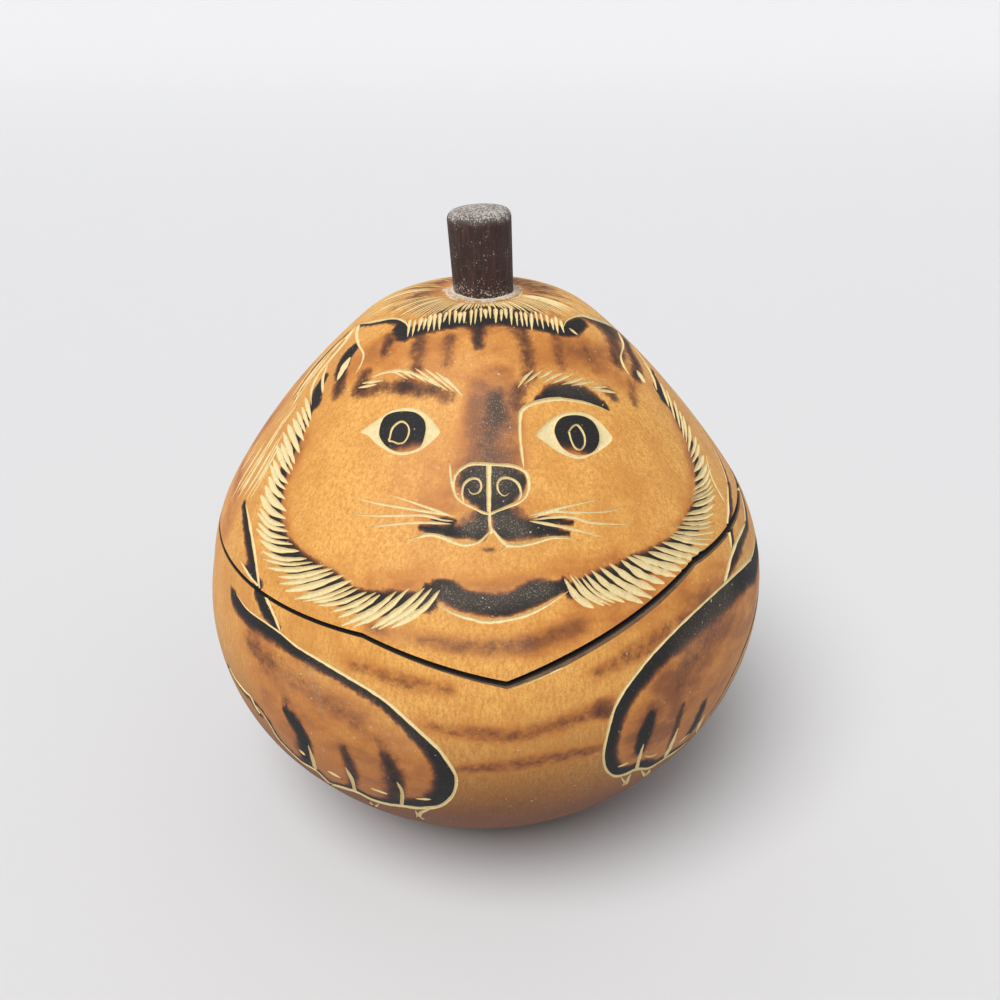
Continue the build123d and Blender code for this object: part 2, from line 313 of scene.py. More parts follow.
# Scorches on both sides of their line: radius or radii, strength, and the line, in photograph pixels.
SCORCHES = {
    "fringe": ((9, 13, 17, 18, 17, 13, 9), 1.0, (404, 335), (420, 329), (441, 323.5), (457, 320.5),
        (471, 319.5), (492, 317.5), (512, 319.5), (528, 322.5), (543, 326), (562, 331)),
    "crown front": ((8, 14, 15, 14, 8), 0.62, (442, 312), (464, 309), (487, 308), (510, 309), (534, 312)),
    "drip": ((13, 13, 9), 0.64, (475, 322), (478, 334), (478, 347)),
    "stripe left": ((14, 18, 13), 0.42, (421, 334), (418, 350), (417, 368)),
    "stripe right": ((16, 18, 15), 0.38, (521, 330), (527, 350), (529, 378)),
    "stripe far left": (15, 0.48, (389, 338), (386, 351)),
    "stripe middle": (14, 0.28, (449, 338), (446, 362)),
    "left ear comma": ((11, 12), 1.0, (400, 328), (405, 335)),
    "left ear hair": ((10, 14, 12), 1.0, (354, 348), (346, 358), (341, 371)),
    "left ear outer": ((8, 12, 12), 1.0, (324, 378), (318, 390), (316, 402)),
    "left ear edge": ((5, 10, 9), 0.7, (348, 333), (318, 364), (296, 396)),
    "left ear smudge": (15, 0.45, (365, 374), (357, 390)),
    "right ear comma": ((12, 15, 11), 1.0, (566, 331), (573, 328), (581, 322)),
    "right ear inner": ((10, 16, 16, 13), 0.62, (626, 342), (631, 354), (637, 366), (636, 377)),
    "right ear left": ((22, 26, 18), 0.5, (611, 334), (616, 348), (617, 362)),
    "right ear low": ((2, 8, 13, 11), 1.0, (652, 370), (658, 386), (664, 399)),
    "right ear smudge": (15, 0.26, (633, 384), (634, 402)),
    "left brow": (15, 0.46, (362, 391), (382, 387), (404, 386)),
    "left brow low": (15, 0.48, (404, 386), (420, 390), (436, 390), (446, 396)),
    "right brow end": (11, 0.5, (606, 390), (614, 397)),
    "right brow root": (14, 0.45, (520, 388), (517, 404)),
    "bridge": ((18, 28, 35, 40), 0.4, (496, 396), (496, 416), (493, 440), (491, 462)),
    "bridge spot": (20, 0.36, (497, 404), (498, 418)),
    "nose rim left": ((9, 9, 6), 0.42, (467, 470), (460, 478), (460, 490)),
    "nose rim right": ((6, 8, 7), 0.46, (516, 470), (524, 480), (520, 492)),
    "left lip haze": (13, 0.36, (460, 525), (472, 518)),
    "right lip haze": (12, 0.36, (516, 512), (530, 520)),
    "left lip": ((6, 7.5, 8, 11), 1.0, (421, 528.2), (440, 529.6), (460, 533), (474, 531)),
    "left philtrum": ((9, 11, 13), 1.0, (483, 514), (482, 524), (478, 532)),
    "right lip": ((13, 15, 12, 8, 4), 1.0, (502, 528), (515, 528.5), (530, 529.5), (546, 530.6),
        (566, 532.5)),
    "right philtrum": ((15, 17, 15), 1.0, (501, 514), (505, 522), (508, 530)),
    "right whiskers": ((5, 6, 4), 1.0, (541, 519.5), (560, 521), (572, 523)),
    "left whiskers": ((2, 4, 4), 0.9, (432, 519.5), (442, 521), (453, 522.5)),
    "lip mark": (5, 0.36, (484, 549.5), (494, 551)),
    "chin": ((6, 15, 16.5, 15, 16, 16, 16, 17.5, 18, 13, 8), 1.0, (426, 590), (438.5, 589), (451, 593.5),
        (463, 600), (481.5, 604), (502, 605), (516.5, 602), (529, 595.5), (543, 591), (555.5, 588.5),
        (563.5, 583.5)),
    "left wedge": ((7, 12, 12, 7), 1.0, (257, 592), (263, 604), (269, 615), (277, 628)),
    "left paw toe 1": ((9, 14, 13, 10), 1.0, (286.4, 711.6), (294.6, 723), (303.8, 740), (307, 764)),
    "left paw toe 2": ((7, 10, 10, 8), 0.65, (343, 749.4), (348, 761.6), (354, 778), (351, 788)),
    "left paw toe 3": ((8, 15, 17, 14), 0.68, (384.7, 755.6), (391.8, 770.8), (396, 785), (394, 797)),
    "right paw toe 1": ((9, 15, 10), 1.0, (651, 716), (646, 730), (640, 750)),
    "right paw toe 2": ((7, 9, 8), 0.65, (683, 705), (675, 730), (669.5, 747.6)),
    "right paw toe 3": ((8, 10, 9), 0.85, (704, 704), (694.8, 724.6), (688, 735)),
    "stripe right far": (12, 0.3, (556, 338), (562, 366)),
    "stripe right end": (13, 0.24, (583, 346), (596, 370)),
    "right side": ((12, 22, 14), 0.12, (742, 508), (748, 532), (741, 560)),
    "left ear hair end": (15, 0.62, (341, 374), (338, 392)),
    "lid stripe": ((10, 18, 19, 19, 13), 0.23, (420, 640), (460, 646), (490, 648), (530, 644), (576, 627)),
    "lid stripe left": (11, 0.2, (366, 626), (384, 632)),
    "bowl stripe 1": ((11, 19, 11), 0.24, (352, 664), (404, 682), (448, 690)),
    "bowl stripe 2": ((12, 20, 20, 20, 17), 0.23, (430, 727), (477, 735), (519, 735), (578, 718),
        (610, 705)),
    "bowl stripe 3": ((10, 17, 17, 12), 0.3, (456, 770), (509, 766), (580, 753), (602, 748)),
    "bowl stripe 4": ((12, 21, 21, 12), 0.25, (597, 674), (630, 655), (654, 641), (687, 614)),
    "bowl spot": (14, 0.4, (600, 709), (606, 712)),
    # Partly painted shade: darkens the right paw, on the side away from the light, besides its scorch.
    "right paw shade": ((26, 44, 40, 20), 0.28, (738, 586), (716, 618), (696, 654), (676, 690)),
    "left heel shade": (22, 0.2, (248, 640), (266, 668)),
    "left toe shade 1": ((16, 25, 20), 0.34, (287, 704), (299, 735), (306, 765)),
    "left toe shade 2": ((12, 17, 14), 0.28, (343, 746), (352, 768), (352, 786)),
    "left toe shade 3": ((16, 27, 22), 0.34, (385, 748), (393, 776), (392, 798)),
    "right toe shade 1": ((16, 24, 16), 0.32, (653, 708), (646, 732), (640, 752)),
    "left paw shade": ((18, 30, 26, 12), 0.2, (252, 644), (290, 676), (340, 712), (376, 740)),
}
# Scorches on one side of their line: the same, with the side after the strength.
SIDED_SCORCHES = {
    "left ear top": ((5, 7, 9, 10, 11, 11), 1.0, RIGHT_SIDE, *LEFT_EAR_TOP),
    "right ear top": ((8, 30, 44, 30), 0.68, RIGHT_SIDE, (580, 315.3), (593.6, 318.5), (606.6, 322.9),
        (617.5, 330.5)),
    "right brow": ((9, 22, 27, 27, 23, 10), 1.0, LEFT_SIDE, (540, 402), (549, 400), (560, 399),
        (573, 400.4), (586, 403), (604, 409)),
    "left front line": ((11, 19, 19, 13), 1.0, RIGHT_SIDE, *LEFT_FRONT),
    "left rear line": (11, 0.9, LEFT_SIDE, (247, 572), (252, 579), (258.4, 586)),
    "right front line": ((8, 13, 13, 9), 0.74, LEFT_SIDE, *RIGHT_FRONT),
    "right front low": (11, 0.85, LEFT_SIDE, (728.7, 525.7), (730.4, 539), (731.5, 549)),
    "right rear line": ((10, 18, 18, 9), 0.9, LEFT_SIDE, *RIGHT_REAR),
    "left paw": ((25, 23, 19, 15, 14, 16, 24, 35, 33, 20, 14, 12, 10, 8), 1.0, RIGHT_SIDE, *LEFT_PAW),
    "left heel": ((8, 10, 7), 0.9, LEFT_SIDE, *LEFT_PAW_HEEL),
    "right paw": ((36, 36, 35, 33, 31, 28, 24, 22, 23, 19, 13), 1.0, LEFT_SIDE, *RIGHT_PAW),
}

# Brown tints under the scorches, on both sides of their line.
TINTS = {
    "forehead": (70, 0.42, (405, 352), (470, 350), (560, 350)),
    "left ear": (40, 0.4, (345, 372), (372, 352)),
    "right ear": (40, 0.4, (600, 352), (625, 376)),
    "bridge": ((36, 46, 50, 50), 0.8, (494, 386), (494, 404), (493, 430), (491, 462)),
    "muzzle": (40, 0.4, (440, 520), (489, 500), (540, 520)),
    "left cheek": (60, 0.36, (470, 470), (440, 480), (410, 490)),
    "chin fringe": (26, 0.45, (372, 585), (440, 582), (489, 588), (540, 578), (620, 555)),
    "lid stripe": (20, 0.45, (370, 629), (429, 641), (460, 647), (524, 645), (574, 628)),
    "bowl stripe 1": (22, 0.45, (351, 663), (404, 682), (448, 690)),
    "bowl stripe 2": (22, 0.5, (420, 724), (477, 735), (519, 735), (578, 718), (612, 704)),
    "bowl stripe 3": (19, 0.5, (456, 770), (509, 766), (580, 753), (602, 748)),
    "bowl stripe 4": (24, 0.5, (597, 674), (630, 655), (654, 641), (687.6, 613.5)),
    "bowl spot": (15, 0.8, (600, 709), (606, 712)),
    "left mane": (26, 0.7, (302, 440), (280, 490), (284, 540), (322, 582), (372, 604)),
    "right mane": (26, 0.7, (680, 420), (698, 480), (688, 530), (640, 566), (580, 590)),
    "left side": (40, 0.5, (300, 380), (250, 450), (228, 520)),
    "forehead right": (40, 0.38, (570, 346), (612, 366)),
    "lid right": (40, 0.5, (540, 640), (610, 618), (680, 585)),
    # Partly painted shade: browns the right paw, on the side away from the light, besides its tint.
    "right paw": (66, 0.75, (722, 606), (690, 670), (656, 730)),
    "left paw": (46, 0.55, (250, 636), (300, 690), (360, 720)),
    "left toe 1": ((18, 26, 22), 0.6, (286, 708), (298, 730), (306, 760)),
    "left toe 2": (18, 0.45, (343, 748), (352, 775)),
    "left toe 3": ((16, 28, 22), 0.6, (384, 752), (393, 775), (395, 797)),
    "right toe 1": ((16, 24, 16), 0.6, (652, 712), (645, 732), (640, 750)),
}

# Places where pale dust lies on the skin, on both sides of their line.
DUST = {
    "bridge": (44, 0.5, (494, 402), (494, 430), (491, 470)),
    "lips": (22, 0.55, (470, 527), (484, 522), (505, 522), (520, 530)),
    "nose": (34, 0.22, (470, 488), (510, 488)),
    "chin": (20, 0.5, (446, 592), (489, 600), (545, 588)),
    "left chin": (26, 0.25, (420, 600), (455, 608)),
    "lid stripe": (20, 0.35, (376, 630), (429, 641), (480, 646), (524, 645)),
    "brow": (26, 0.25, (560, 382), (610, 390)),
    "left paw": (40, 0.28, (290, 680), (330, 690), (400, 740)),
    "right paw": (42, 0.35, (725, 600), (690, 650)),
    # Partly painted sheen: the pale grey here stands for light glancing off the right side, besides dust.
    "right side": (26, 0.3, (742, 510), (745, 550)),
    "left paw streak": (8, 0.5, (309, 668), (316, 690), (322, 712)),
}


# Radius where the chart starts.
CHART_START = 3.0


class Outline:
    """Half section of the gourd at a depth below its skin, sampled from the axis to the foot.

    Along an arc of radius R whose heading turns from a to b, the radius grows by R (sin b - sin a)
    and the height falls by R (cos a - cos b). The chart value is the logarithm of the radius that a
    flat chart which keeps angles gives to that place: the sum of each step divided by its radius.
    """

    def __init__(self, inset):
        flat = np.linspace(CHART_START, STEM_SCAR, 60)[:-1]
        heading = np.radians(np.linspace(0.0, sum(turn for _, turn in OUTLINE_ARCS), 3000))
        radius = np.full(heading.size, STEM_SCAR)
        height = np.full(heading.size, GOURD_HEIGHT - inset)
        turned = 0.0
        for arc, turn in OUTLINE_ARCS:
            begin = math.radians(turned)
            end = math.radians(turned + turn)
            here = np.clip(heading, begin, end)
            radius += (arc - inset) * (np.sin(here) - math.sin(begin))
            height -= (arc - inset) * (math.cos(begin) - np.cos(here))
            turned += turn
        self.crown = flat.size
        self.heading = np.concatenate((np.zeros(flat.size), heading))
        self.radius = np.concatenate((flat, radius))
        self.height = np.concatenate((np.full(flat.size, GOURD_HEIGHT - inset), height))
        step = np.hypot(np.diff(self.radius), np.diff(self.height))
        mean_radius = 0.5 * (self.radius[1:] + self.radius[:-1])
        self.walk = CHART_START + np.concatenate(([0.0], np.cumsum(step)))
        self.chart = math.log(CHART_START) + np.concatenate(([0.0], np.cumsum(step / mean_radius)))

    def radius_at(self, height):
        """Radius at a height, from the crown down."""
        return np.interp(height, self.height[self.crown:][::-1], self.radius[self.crown:][::-1])

    def chart_at(self, height):
        """Chart value at a height, from the crown down."""
        return np.interp(height, self.height[self.crown:][::-1], self.chart[self.crown:][::-1])


SKIN = Outline(0.0)

# The gourd grew a little crooked: how far its middle stands to the right, and how much slimmer it is, by
# height. The slimming sets in over a distance past the stem scar.
CROOKED_HEIGHTS = (0.0, 12.0, 24.0, 34.0, 44.0, 52.0, 62.0, 72.0, 80.0, 95.0, 99.0)
CROOKED_SHIFT = (-0.4, -0.5, -0.5, -0.25, 0.05, 0.35, 0.0, -0.4, -0.6, -0.6, -0.3)
CROOKED_SLIM = (0.0, 0.0, 0.0, 0.1, 0.2, 0.35, 0.1, 0.15, 0.15, 0.05, 0.0)
SLIM_EASE = 6.0


def shift_at(height):
    """How far the gourd's middle stands to the right at a height."""
    return np.interp(height, CROOKED_HEIGHTS, CROOKED_SHIFT)


def slim_at(height):
    """How much smaller the gourd's radius is than its outline's at a height."""
    return np.interp(height, CROOKED_HEIGHTS, CROOKED_SLIM)


def to_chart(azimuth, chart):
    """Chart points of azimuths, nought in front and growing to the right, and chart values."""
    reach = np.exp(chart)
    return np.stack((reach * np.sin(azimuth), -reach * np.cos(azimuth)), -1)


def from_chart(points):
    """Azimuths and chart values of chart points."""
    return np.arctan2(points[:, 0], -points[:, 1]), np.log(np.hypot(points[:, 0], points[:, 1]))


def chart_scale(points):
    """Chart units in a millimetre of skin: chart radius divided by true radius."""
    chart = from_chart(points)[1]
    return np.exp(chart) / np.interp(chart, SKIN.chart, SKIN.radius)


def skin_points(points, depth):
    """Places on the skin of chart points, sunk below it along its normal."""
    azimuth, chart = from_chart(points)
    heading = np.interp(chart, SKIN.chart, SKIN.heading)
    level = np.interp(chart, SKIN.chart, SKIN.height)
    radius = np.interp(chart, SKIN.chart, SKIN.radius)
    slim = slim_at(level) * np.clip((radius - STEM_SCAR) / SLIM_EASE, 0.0, 1.0)
    radius = radius - slim - depth * np.sin(heading)
    height = level - depth * np.cos(heading)
    return np.stack((radius * np.sin(azimuth) + shift_at(level), -radius * np.cos(azimuth), height), -1)


# Where a ray's walk from the camera starts and ends, and how far a pixel off the gourd slides at a time.
LOOK_FROM = 100.0
LOOK_TO = 240.0
SLIDE_SHARE = 0.012


def trace(pixels):
    """Distances along the camera's rays to the gourd, whether it is there, and the rays themselves.

    A ray through each pixel is walked until it is inside the outline, and the last step is halved
    until the place is exact.
    """
    tilt = math.radians(CAMERA_TILT)
    forward = np.array((0.0, math.cos(tilt), -math.sin(tilt)))
    upward = np.array((0.0, math.sin(tilt), math.cos(tilt)))
    rightward = np.array((1.0, 0.0, 0.0))
    offset = (pixels - FRAME_PIXELS / 2) / FOCAL_PIXELS
    aim = forward + offset[:, :1] * rightward - offset[:, 1:] * upward

    def outside(distance):
        rays = aim.reshape(len(aim), *[1] * (distance.ndim - 1), 3)
        place = CAMERA_PLACE + distance[..., None] * rays
        height = place[..., 2]
        across = place[..., 0] - shift_at(height)
        gap = np.hypot(across, place[..., 1]) - SKIN.radius_at(height) + slim_at(height)
        return np.where((height > GOURD_HEIGHT) | (height < 0), 1.0, gap)

    walk = np.linspace(LOOK_FROM, LOOK_TO, 421)
    values = outside(np.broadcast_to(walk, (len(aim), walk.size)))
    first = np.argmax(values < 0, axis=1)
    near = walk[np.maximum(first - 1, 0)]
    far = walk[first]
    for _ in range(24):
        middle = 0.5 * (near + far)
        out = outside(middle) > 0
        near = np.where(out, middle, near)
        far = np.where(out, far, middle)
    return far, values.min(axis=1) < 0, aim


def cast(pixels):
    """Chart points that photograph pixels show, whether the gourd is there, and millimetres per pixel.

    A pixel just off the gourd slides towards its middle until it is on it.
    """
    pixels = np.array(pixels, float)
    distance, seen, aim = trace(pixels)
    for _ in range(8):
        if seen.all():
            break
        pixels[~seen] += SLIDE_SHARE * (GOURD_MIDDLE - pixels[~seen])
        distance, seen, aim = trace(pixels)
    place = CAMERA_PLACE + distance[:, None] * aim
    across = place[:, 0] - shift_at(place[:, 2])
    azimuth = np.arctan2(across, -place[:, 1])
    reach = np.hypot(across, place[:, 1])
    on_scar = np.log(np.maximum(reach, CHART_START))
    chart = np.where(reach < STEM_SCAR, on_scar, SKIN.chart_at(place[:, 2]))
    return to_chart(azimuth, chart), seen, distance / FOCAL_PIXELS


# Steps between the points of lines, in pixels, and in degrees or millimetres for lines walked on the skin.
HAIR_STEP = 1.8
FACE_STEP = 1.4
CUT_STEP = 2.0
SCORCH_STEP = 3.0
REGION_STEP = 1.6
COARSE_STEP = 4.0
SKIN_STEP = 1.2


def smooth_path(points, step):
    """Points about a step apart on a smooth curve through the given ones.

    Between two points the curve is the cubic whose slopes at them are half the way from each one's
    neighbour before to its neighbour after.
    """
    points = np.asarray(points, float)
    padded = np.vstack((2 * points[0] - points[1], points, 2 * points[-1] - points[-2]))
    runs = []
    for before, start, end, after in zip(padded, padded[1:], padded[2:], padded[3:]):
        pieces = max(1, round(float(np.linalg.norm(end - start)) / step))
        t = (np.arange(pieces) / pieces)[:, None]
        square = (2 * before - 5 * start + 4 * end - after) * t ** 2
        cube = (3 * start - before - 3 * end + after) * t ** 3
        runs.append(0.5 * (2 * start + (end - before) * t + square + cube))
    return np.vstack((*runs, points[-1:]))


def share_along(path):
    """How far along a path each of its points is, from nought to one."""
    walk = np.concatenate(([0.0], np.cumsum(np.linalg.norm(np.diff(path, axis=0), axis=1))))
    return walk / walk[-1]


def spread(values, share):
    """One value, or several spread evenly along a path, at the given shares of it."""
    values = np.atleast_1d(np.asarray(values, float))
    return np.interp(share, np.linspace(0, 1, values.size), values)


def side_of(path):
    """Unit vectors square to a path, to its left."""
    run = np.gradient(path, axis=0)
    run /= np.maximum(np.linalg.norm(run, axis=1, keepdims=True), 1e-9)
    return np.stack((-run[:, 1], run[:, 0]), -1)


# A gouge cut on the chart: its middle line, half its width there and its depth in millimetres.
Groove = namedtuple("Groove", "path half depth")
# A burn on the chart: its line, radius along it, strength and the side that it lies on.
Scorch = namedtuple("Scorch", "path radius strength side")

# Share of a cut's width left at its tips, how its width trembles and over how many pixels, and how much
# wider it may be where the skin turns away from the camera.
TIP_SHARE = 0.14
TREMBLE = (0.8, 1.18)
TREMBLE_PIXELS = 5.0
MOST_STRETCH = 2.8


def end_taper(share, ends):
    """Share of its full width that a cut has along its length, rounded off towards its ends."""
    width = np.ones(share.shape)
    for length, away in zip(ends, (share, 1.0 - share)):
        if length:
            width = np.minimum(width, np.sqrt(np.clip(away / length, 0.0, 1.0)))
    return np.maximum(width, TIP_SHARE)


def photo_groove(points, width, ends, depth, chance, step=HAIR_STEP):
    """Groove along pixels of the photograph, as wide on the skin as it looks in the photograph."""
    pixels = smooth_path(points, step)
    share = share_along(pixels)
    turns = max(9, int(len(pixels) * step / TREMBLE_PIXELS))
    tremble = np.interp(share, np.linspace(0, 1, turns), chance.uniform(*TREMBLE, turns))
    reach = (0.5 * spread(width, share) * end_taper(share, ends) * tremble)[:, None]
    middle, seen, pixel_size = cast(pixels)
    left, left_seen, _ = cast(pixels + side_of(pixels) * reach)
    right, right_seen, _ = cast(pixels - side_of(pixels) * reach)
    half = 0.5 * np.abs(((left - right) * side_of(middle)).sum(1))
    half = np.where(left_seen & right_seen, half, 0.0)
    flat_half = reach[:, 0] * pixel_size * chart_scale(middle)
    half = np.clip(half, flat_half, MOST_STRETCH * flat_half)
    return Groove(middle[seen], half[seen], depth)


def skin_path(places):
    """Chart points of a smooth line through azimuths in degrees and distances walked from the crown."""
    path = smooth_path(places, SKIN_STEP)
    return to_chart(np.radians(path[:, 0]), np.interp(path[:, 1], SKIN.walk, SKIN.chart))


def skin_groove(places, width, ends, depth):
    """Groove along azimuths and distances walked from the crown, with its width in millimetres."""
    middle = skin_path(places)
    half = 0.5 * width * end_taper(share_along(middle), ends) * chart_scale(middle)
    return Groove(middle, half, depth)


def photo_scorch(points, radius, strength, side=BOTH_SIDES):
    """Scorch along pixels of the photograph."""
    pixels = smooth_path(points, SCORCH_STEP)
    middle, seen, pixel_size = cast(pixels)
    reach = spread(radius, share_along(pixels)) * pixel_size * chart_scale(middle)
    return Scorch(middle[seen], reach[seen], strength, side)


def photo_scorches(table):
    """Scorches of a table, on both sides of their lines."""
    return [photo_scorch(line, radius, strength) for radius, strength, *line in table.values()]


def skin_scorch(places, radius, strength, side=BOTH_SIDES):
    """Scorch along azimuths and distances walked from the crown, with radii in millimetres."""
    middle = skin_path(places)
    reach = spread(radius, share_along(middle)) * chart_scale(middle)
    return Scorch(middle, reach, strength, side)


def photo_region(points):
    """Closed chart outline of a place read off the photograph."""
    points = np.asarray(points, float)
    ring = np.vstack((points[-2:], points, points[:3]))
    smooth = smooth_path(ring, REGION_STEP)
    away = np.linalg.norm(smooth - points[0], axis=1)
    end = len(away) - 1 - away[::-1].argmin()
    return cast(smooth[away.argmin():end])[0]


def nearest_on_path(points, path):
    """Distance of points to a path, how far along it they are in steps, and on which side they lie."""
    start = path[:-1]
    run = path[1:] - start
    away = points[:, None, :] - start
    along = np.clip((away * run).sum(2) / np.maximum((run ** 2).sum(1), 1e-12), 0.0, 1.0)
    squared = ((away - along[..., None] * run) ** 2).sum(2)
    best = squared.argmin(1)
    rows = np.arange(len(points))
    turn = run[best, 0] * away[rows, best, 1] - run[best, 1] * away[rows, best, 0]
    return np.sqrt(squared[rows, best]), best + along[rows, best], np.sign(turn)


def near_box(points, path, reach):
    """Indices of the points in the box round a path, widened by a reach."""
    return np.flatnonzero(np.all((points > path.min(0) - reach) & (points < path.max(0) + reach), axis=1))


# Distance given to places far from all lines, how far round cuts and outlines places are measured, and the
# shares of a strong scorch's radius between which it ends.
FAR_AWAY = 9.0
CUT_REACH = 2.5
OUTLINE_REACH = 2.0
STRONG = 0.7
BLACK_TO = 0.4
GONE_AT = 0.9


def groove_fields(points, grooves):
    """Depth of the grooves at chart points, and clear distance to the nearest one, in millimetres.

    Across a groove the depth falls from the middle to the edge as one minus the square of the
    distance over the half width, and along it the depth follows the root of the width.
    """
    depth = np.zeros(len(points))
    clear = np.full(len(points), FAR_AWAY)
    scale = chart_scale(points)
    for groove in grooves:
        near = near_box(points, groove.path, groove.half.max() * CUT_REACH)
        if near.size == 0:
            continue
        distance, along, _ = nearest_on_path(points[near], groove.path)
        half = np.interp(along, np.arange(len(groove.half)), groove.half)
        full = groove.depth * np.sqrt(half / groove.half.max())
        depth[near] = np.maximum(depth[near], full * np.clip(1.0 - (distance / half) ** 2, 0.0, None))
        clear[near] = np.minimum(clear[near], (distance - half) / scale[near])
    return depth, clear


def scorch_field(points, scorches):
    """Strength of the scorches at chart points.

    A strong scorch is full near its line and ends short of its radius. A weak one falls off smoothly
    from its line to its radius.
    """
    field = np.zeros(len(points))
    for scorch in scorches:
        near = near_box(points, scorch.path, scorch.radius.max())
        if near.size == 0:
            continue
        distance, along, side = nearest_on_path(points[near], scorch.path)
        share = distance / np.interp(along, np.arange(len(scorch.radius)), scorch.radius)
        fall = (GONE_AT - share) / (GONE_AT - BLACK_TO) if scorch.strength > STRONG else 1.0 - share
        ease = np.clip(fall, 0.0, 1.0)
        value = scorch.strength * ease * ease * (3.0 - 2.0 * ease)
        if scorch.side:
            value = np.where(side == scorch.side, value, 0.0)
        field[near] = 1.0 - (1.0 - field[near]) * (1.0 - value)
    return field


def inside_region(points, region):
    """Whether chart points lie in a closed outline: a ray from them crosses it an odd number of times."""
    start = region
    end = np.roll(region, -1, axis=0)
    x = points[:, None, 0]
    y = points[:, None, 1]
    spans = (start[:, 1] > y) != (end[:, 1] > y)
    rise = np.where(end[:, 1] == start[:, 1], 1e-12, end[:, 1] - start[:, 1])
    slope = (end[:, 0] - start[:, 0]) / rise
    crossing = spans & (x < start[:, 0] + (y - start[:, 1]) * slope)
    return crossing.sum(1) % 2 == 1


def region_depth(points, region):
    """Signed distance in millimetres of chart points to a closed outline, positive inside."""
    closed = np.vstack((region, region[:1]))
    near = near_box(points, closed, OUTLINE_REACH)
    value = np.full(len(points), -FAR_AWAY)
    if near.size:
        distance = nearest_on_path(points[near], closed)[0] / chart_scale(points[near])
        value[near] = np.where(inside_region(points[near], region), distance, -distance)
    return value


def seam_height(across, front):
    """Height of the saw cut at a distance across from the middle, on the front or the back half."""
    keyed = np.interp(across, (KEY_LEFT, KEY_TIP, KEY_RIGHT), (SEAM_LEFT, KEY_TIP_HEIGHT, SEAM_RIGHT))
    plain = np.interp(across, (KEY_LEFT, KEY_RIGHT), (SEAM_LEFT, SEAM_RIGHT))
    return np.where(front, keyed, plain)


# How far the sawn edges are worn back, by degrees of azimuth, and the width of their black bevel, char and
# painted shadow of the saw gap.
WEAR_TURNS = (-180, -60, -25, 2, 14, 34, 50, 90, 180)
WEAR = (0.1, -0.1, -0.08, 0.2, 0.5, 0.45, 0.2, 0.1, 0.1)
LID_WEAR_SHARE = 0.6
BEVEL = 0.25
BEVEL_GROWTH = 0.55


def seam_on(outline, azimuth, lift):
    """Height of the saw cut, raised by lift, where it meets an outline at each azimuth."""
    front = np.abs(azimuth) < math.pi / 2
    height = np.full(azimuth.shape, SEAM_LEFT)
    for _ in range(30):
        across = outline.radius_at(height) * np.sin(azimuth)
        height = 0.5 * height + 0.5 * (seam_height(across, front) + lift)
    return height


def edge_wear(azimuth):
    """How far the sawn edges are worn back: most to the right of the key, where the gap looks widest."""
    return np.interp(np.degrees(azimuth), WEAR_TURNS, WEAR)


def worn_width(azimuth):
    """How wide the black bevel of a sawn edge is, char and painted shadow of the saw gap."""
    return BEVEL + BEVEL_GROWTH * np.clip(edge_wear(azimuth), 0.0, 1.0)


# Half width in millimetres from which a cut has more rows of points, and where these lie.
WIDE_CUT = 0.3
SIDE_ROW = 0.55


class Net:
    """Points and the edges that have to be kept between them, gathered for triangulation on the chart."""

    def __init__(self):
        self.points = []
        self.edges = []
        self.count = 0

    def chain(self, points, closed=False):
        """Adds a run of points with edges between neighbours."""
        index = self.count + np.arange(len(points))
        edges = np.stack((index[:-1], index[1:]), -1)
        if closed:
            edges = np.vstack((edges, (index[-1], index[0])))
        self.edges.append(edges)
        self.scatter(points)

    def scatter(self, points):
        """Adds loose points."""
        self.points.append(points)
        self.count += len(points)

    def groove(self, groove):
        """Adds a groove's outline, its middle line and, in a wide one, a row on the slope of each side."""
        side = side_of(groove.path) * groove.half[:, None]
        self.chain(np.vstack((groove.path + side, (groove.path - side)[::-1])), closed=True)
        self.chain(groove.path)
        wide = (groove.half / chart_scale(groove.path)).max() > WIDE_CUT
        if wide and len(groove.path) > 4:
            for row in (SIDE_ROW, -SIDE_ROW):
                self.chain((groove.path + row * side)[1:-1])

    def triangulate(self, keep):
        """Triangles of the net whose middles pass the test, and the points that they use."""
        points = np.vstack(self.points)
        edges = np.vstack(self.edges)
        scale = np.abs(points).max()
        made = delaunay_2d_cdt((points / scale).tolist(), edges.tolist(), [], 0, 2e-6, False)
        place = np.array([tuple(v) for v in made[0]]) * scale
        faces = np.array(made[2])
        faces = faces[keep(place[faces].mean(axis=1))]
        used, faces = np.unique(faces, return_inverse=True)
        return place[used], faces.reshape(-1, 3)


def edge_keys(faces, count):
    """Number for each edge of triangles, the same in both faces that share it."""
    edges = np.vstack((faces[:, [0, 1]], faces[:, [1, 2]], faces[:, [2, 0]])).astype(np.int64)
    return edges.min(1) * count + edges.max(1)


def border_loops(faces, points):
    """Rings of border vertices of a net, each in order of azimuth, from the innermost outwards."""
    keys, counts = np.unique(edge_keys(faces, len(points)), return_counts=True)
    border = keys[counts == 1]
    verts = np.unique(np.concatenate((border // len(points), border % len(points))))
    azimuth, chart = from_chart(points[verts])
    split = 0.5 * (chart.min() + chart.max())
    loops = []
    for ring in (chart < split, chart >= split):
        order = np.argsort(azimuth[ring])
        loops.append((verts[ring][order], azimuth[ring][order]))
    return loops


def zip_rings(upper, upper_azimuth, lower, lower_azimuth):
    """Triangles of the band between two closed rings of vertices in order of azimuth.

    Walking round both at once, the ring whose next vertex comes first takes the next step.
    """
    turn = 2 * math.pi
    upper = np.append(upper, upper[0])
    lower = np.append(lower, lower[0])
    steps = (upper_azimuth[1:], upper_azimuth[:1] + turn, lower_azimuth[1:], lower_azimuth[:1] + turn)
    on_upper = np.argsort(np.concatenate(steps), kind="stable") < upper_azimuth.size
    upper_steps = np.cumsum(on_upper)
    lower_steps = np.cumsum(~on_upper)
    following = np.where(on_upper, upper[upper_steps], lower[lower_steps])
    return np.stack((upper[upper_steps - on_upper], lower[lower_steps - ~on_upper], following), -1)


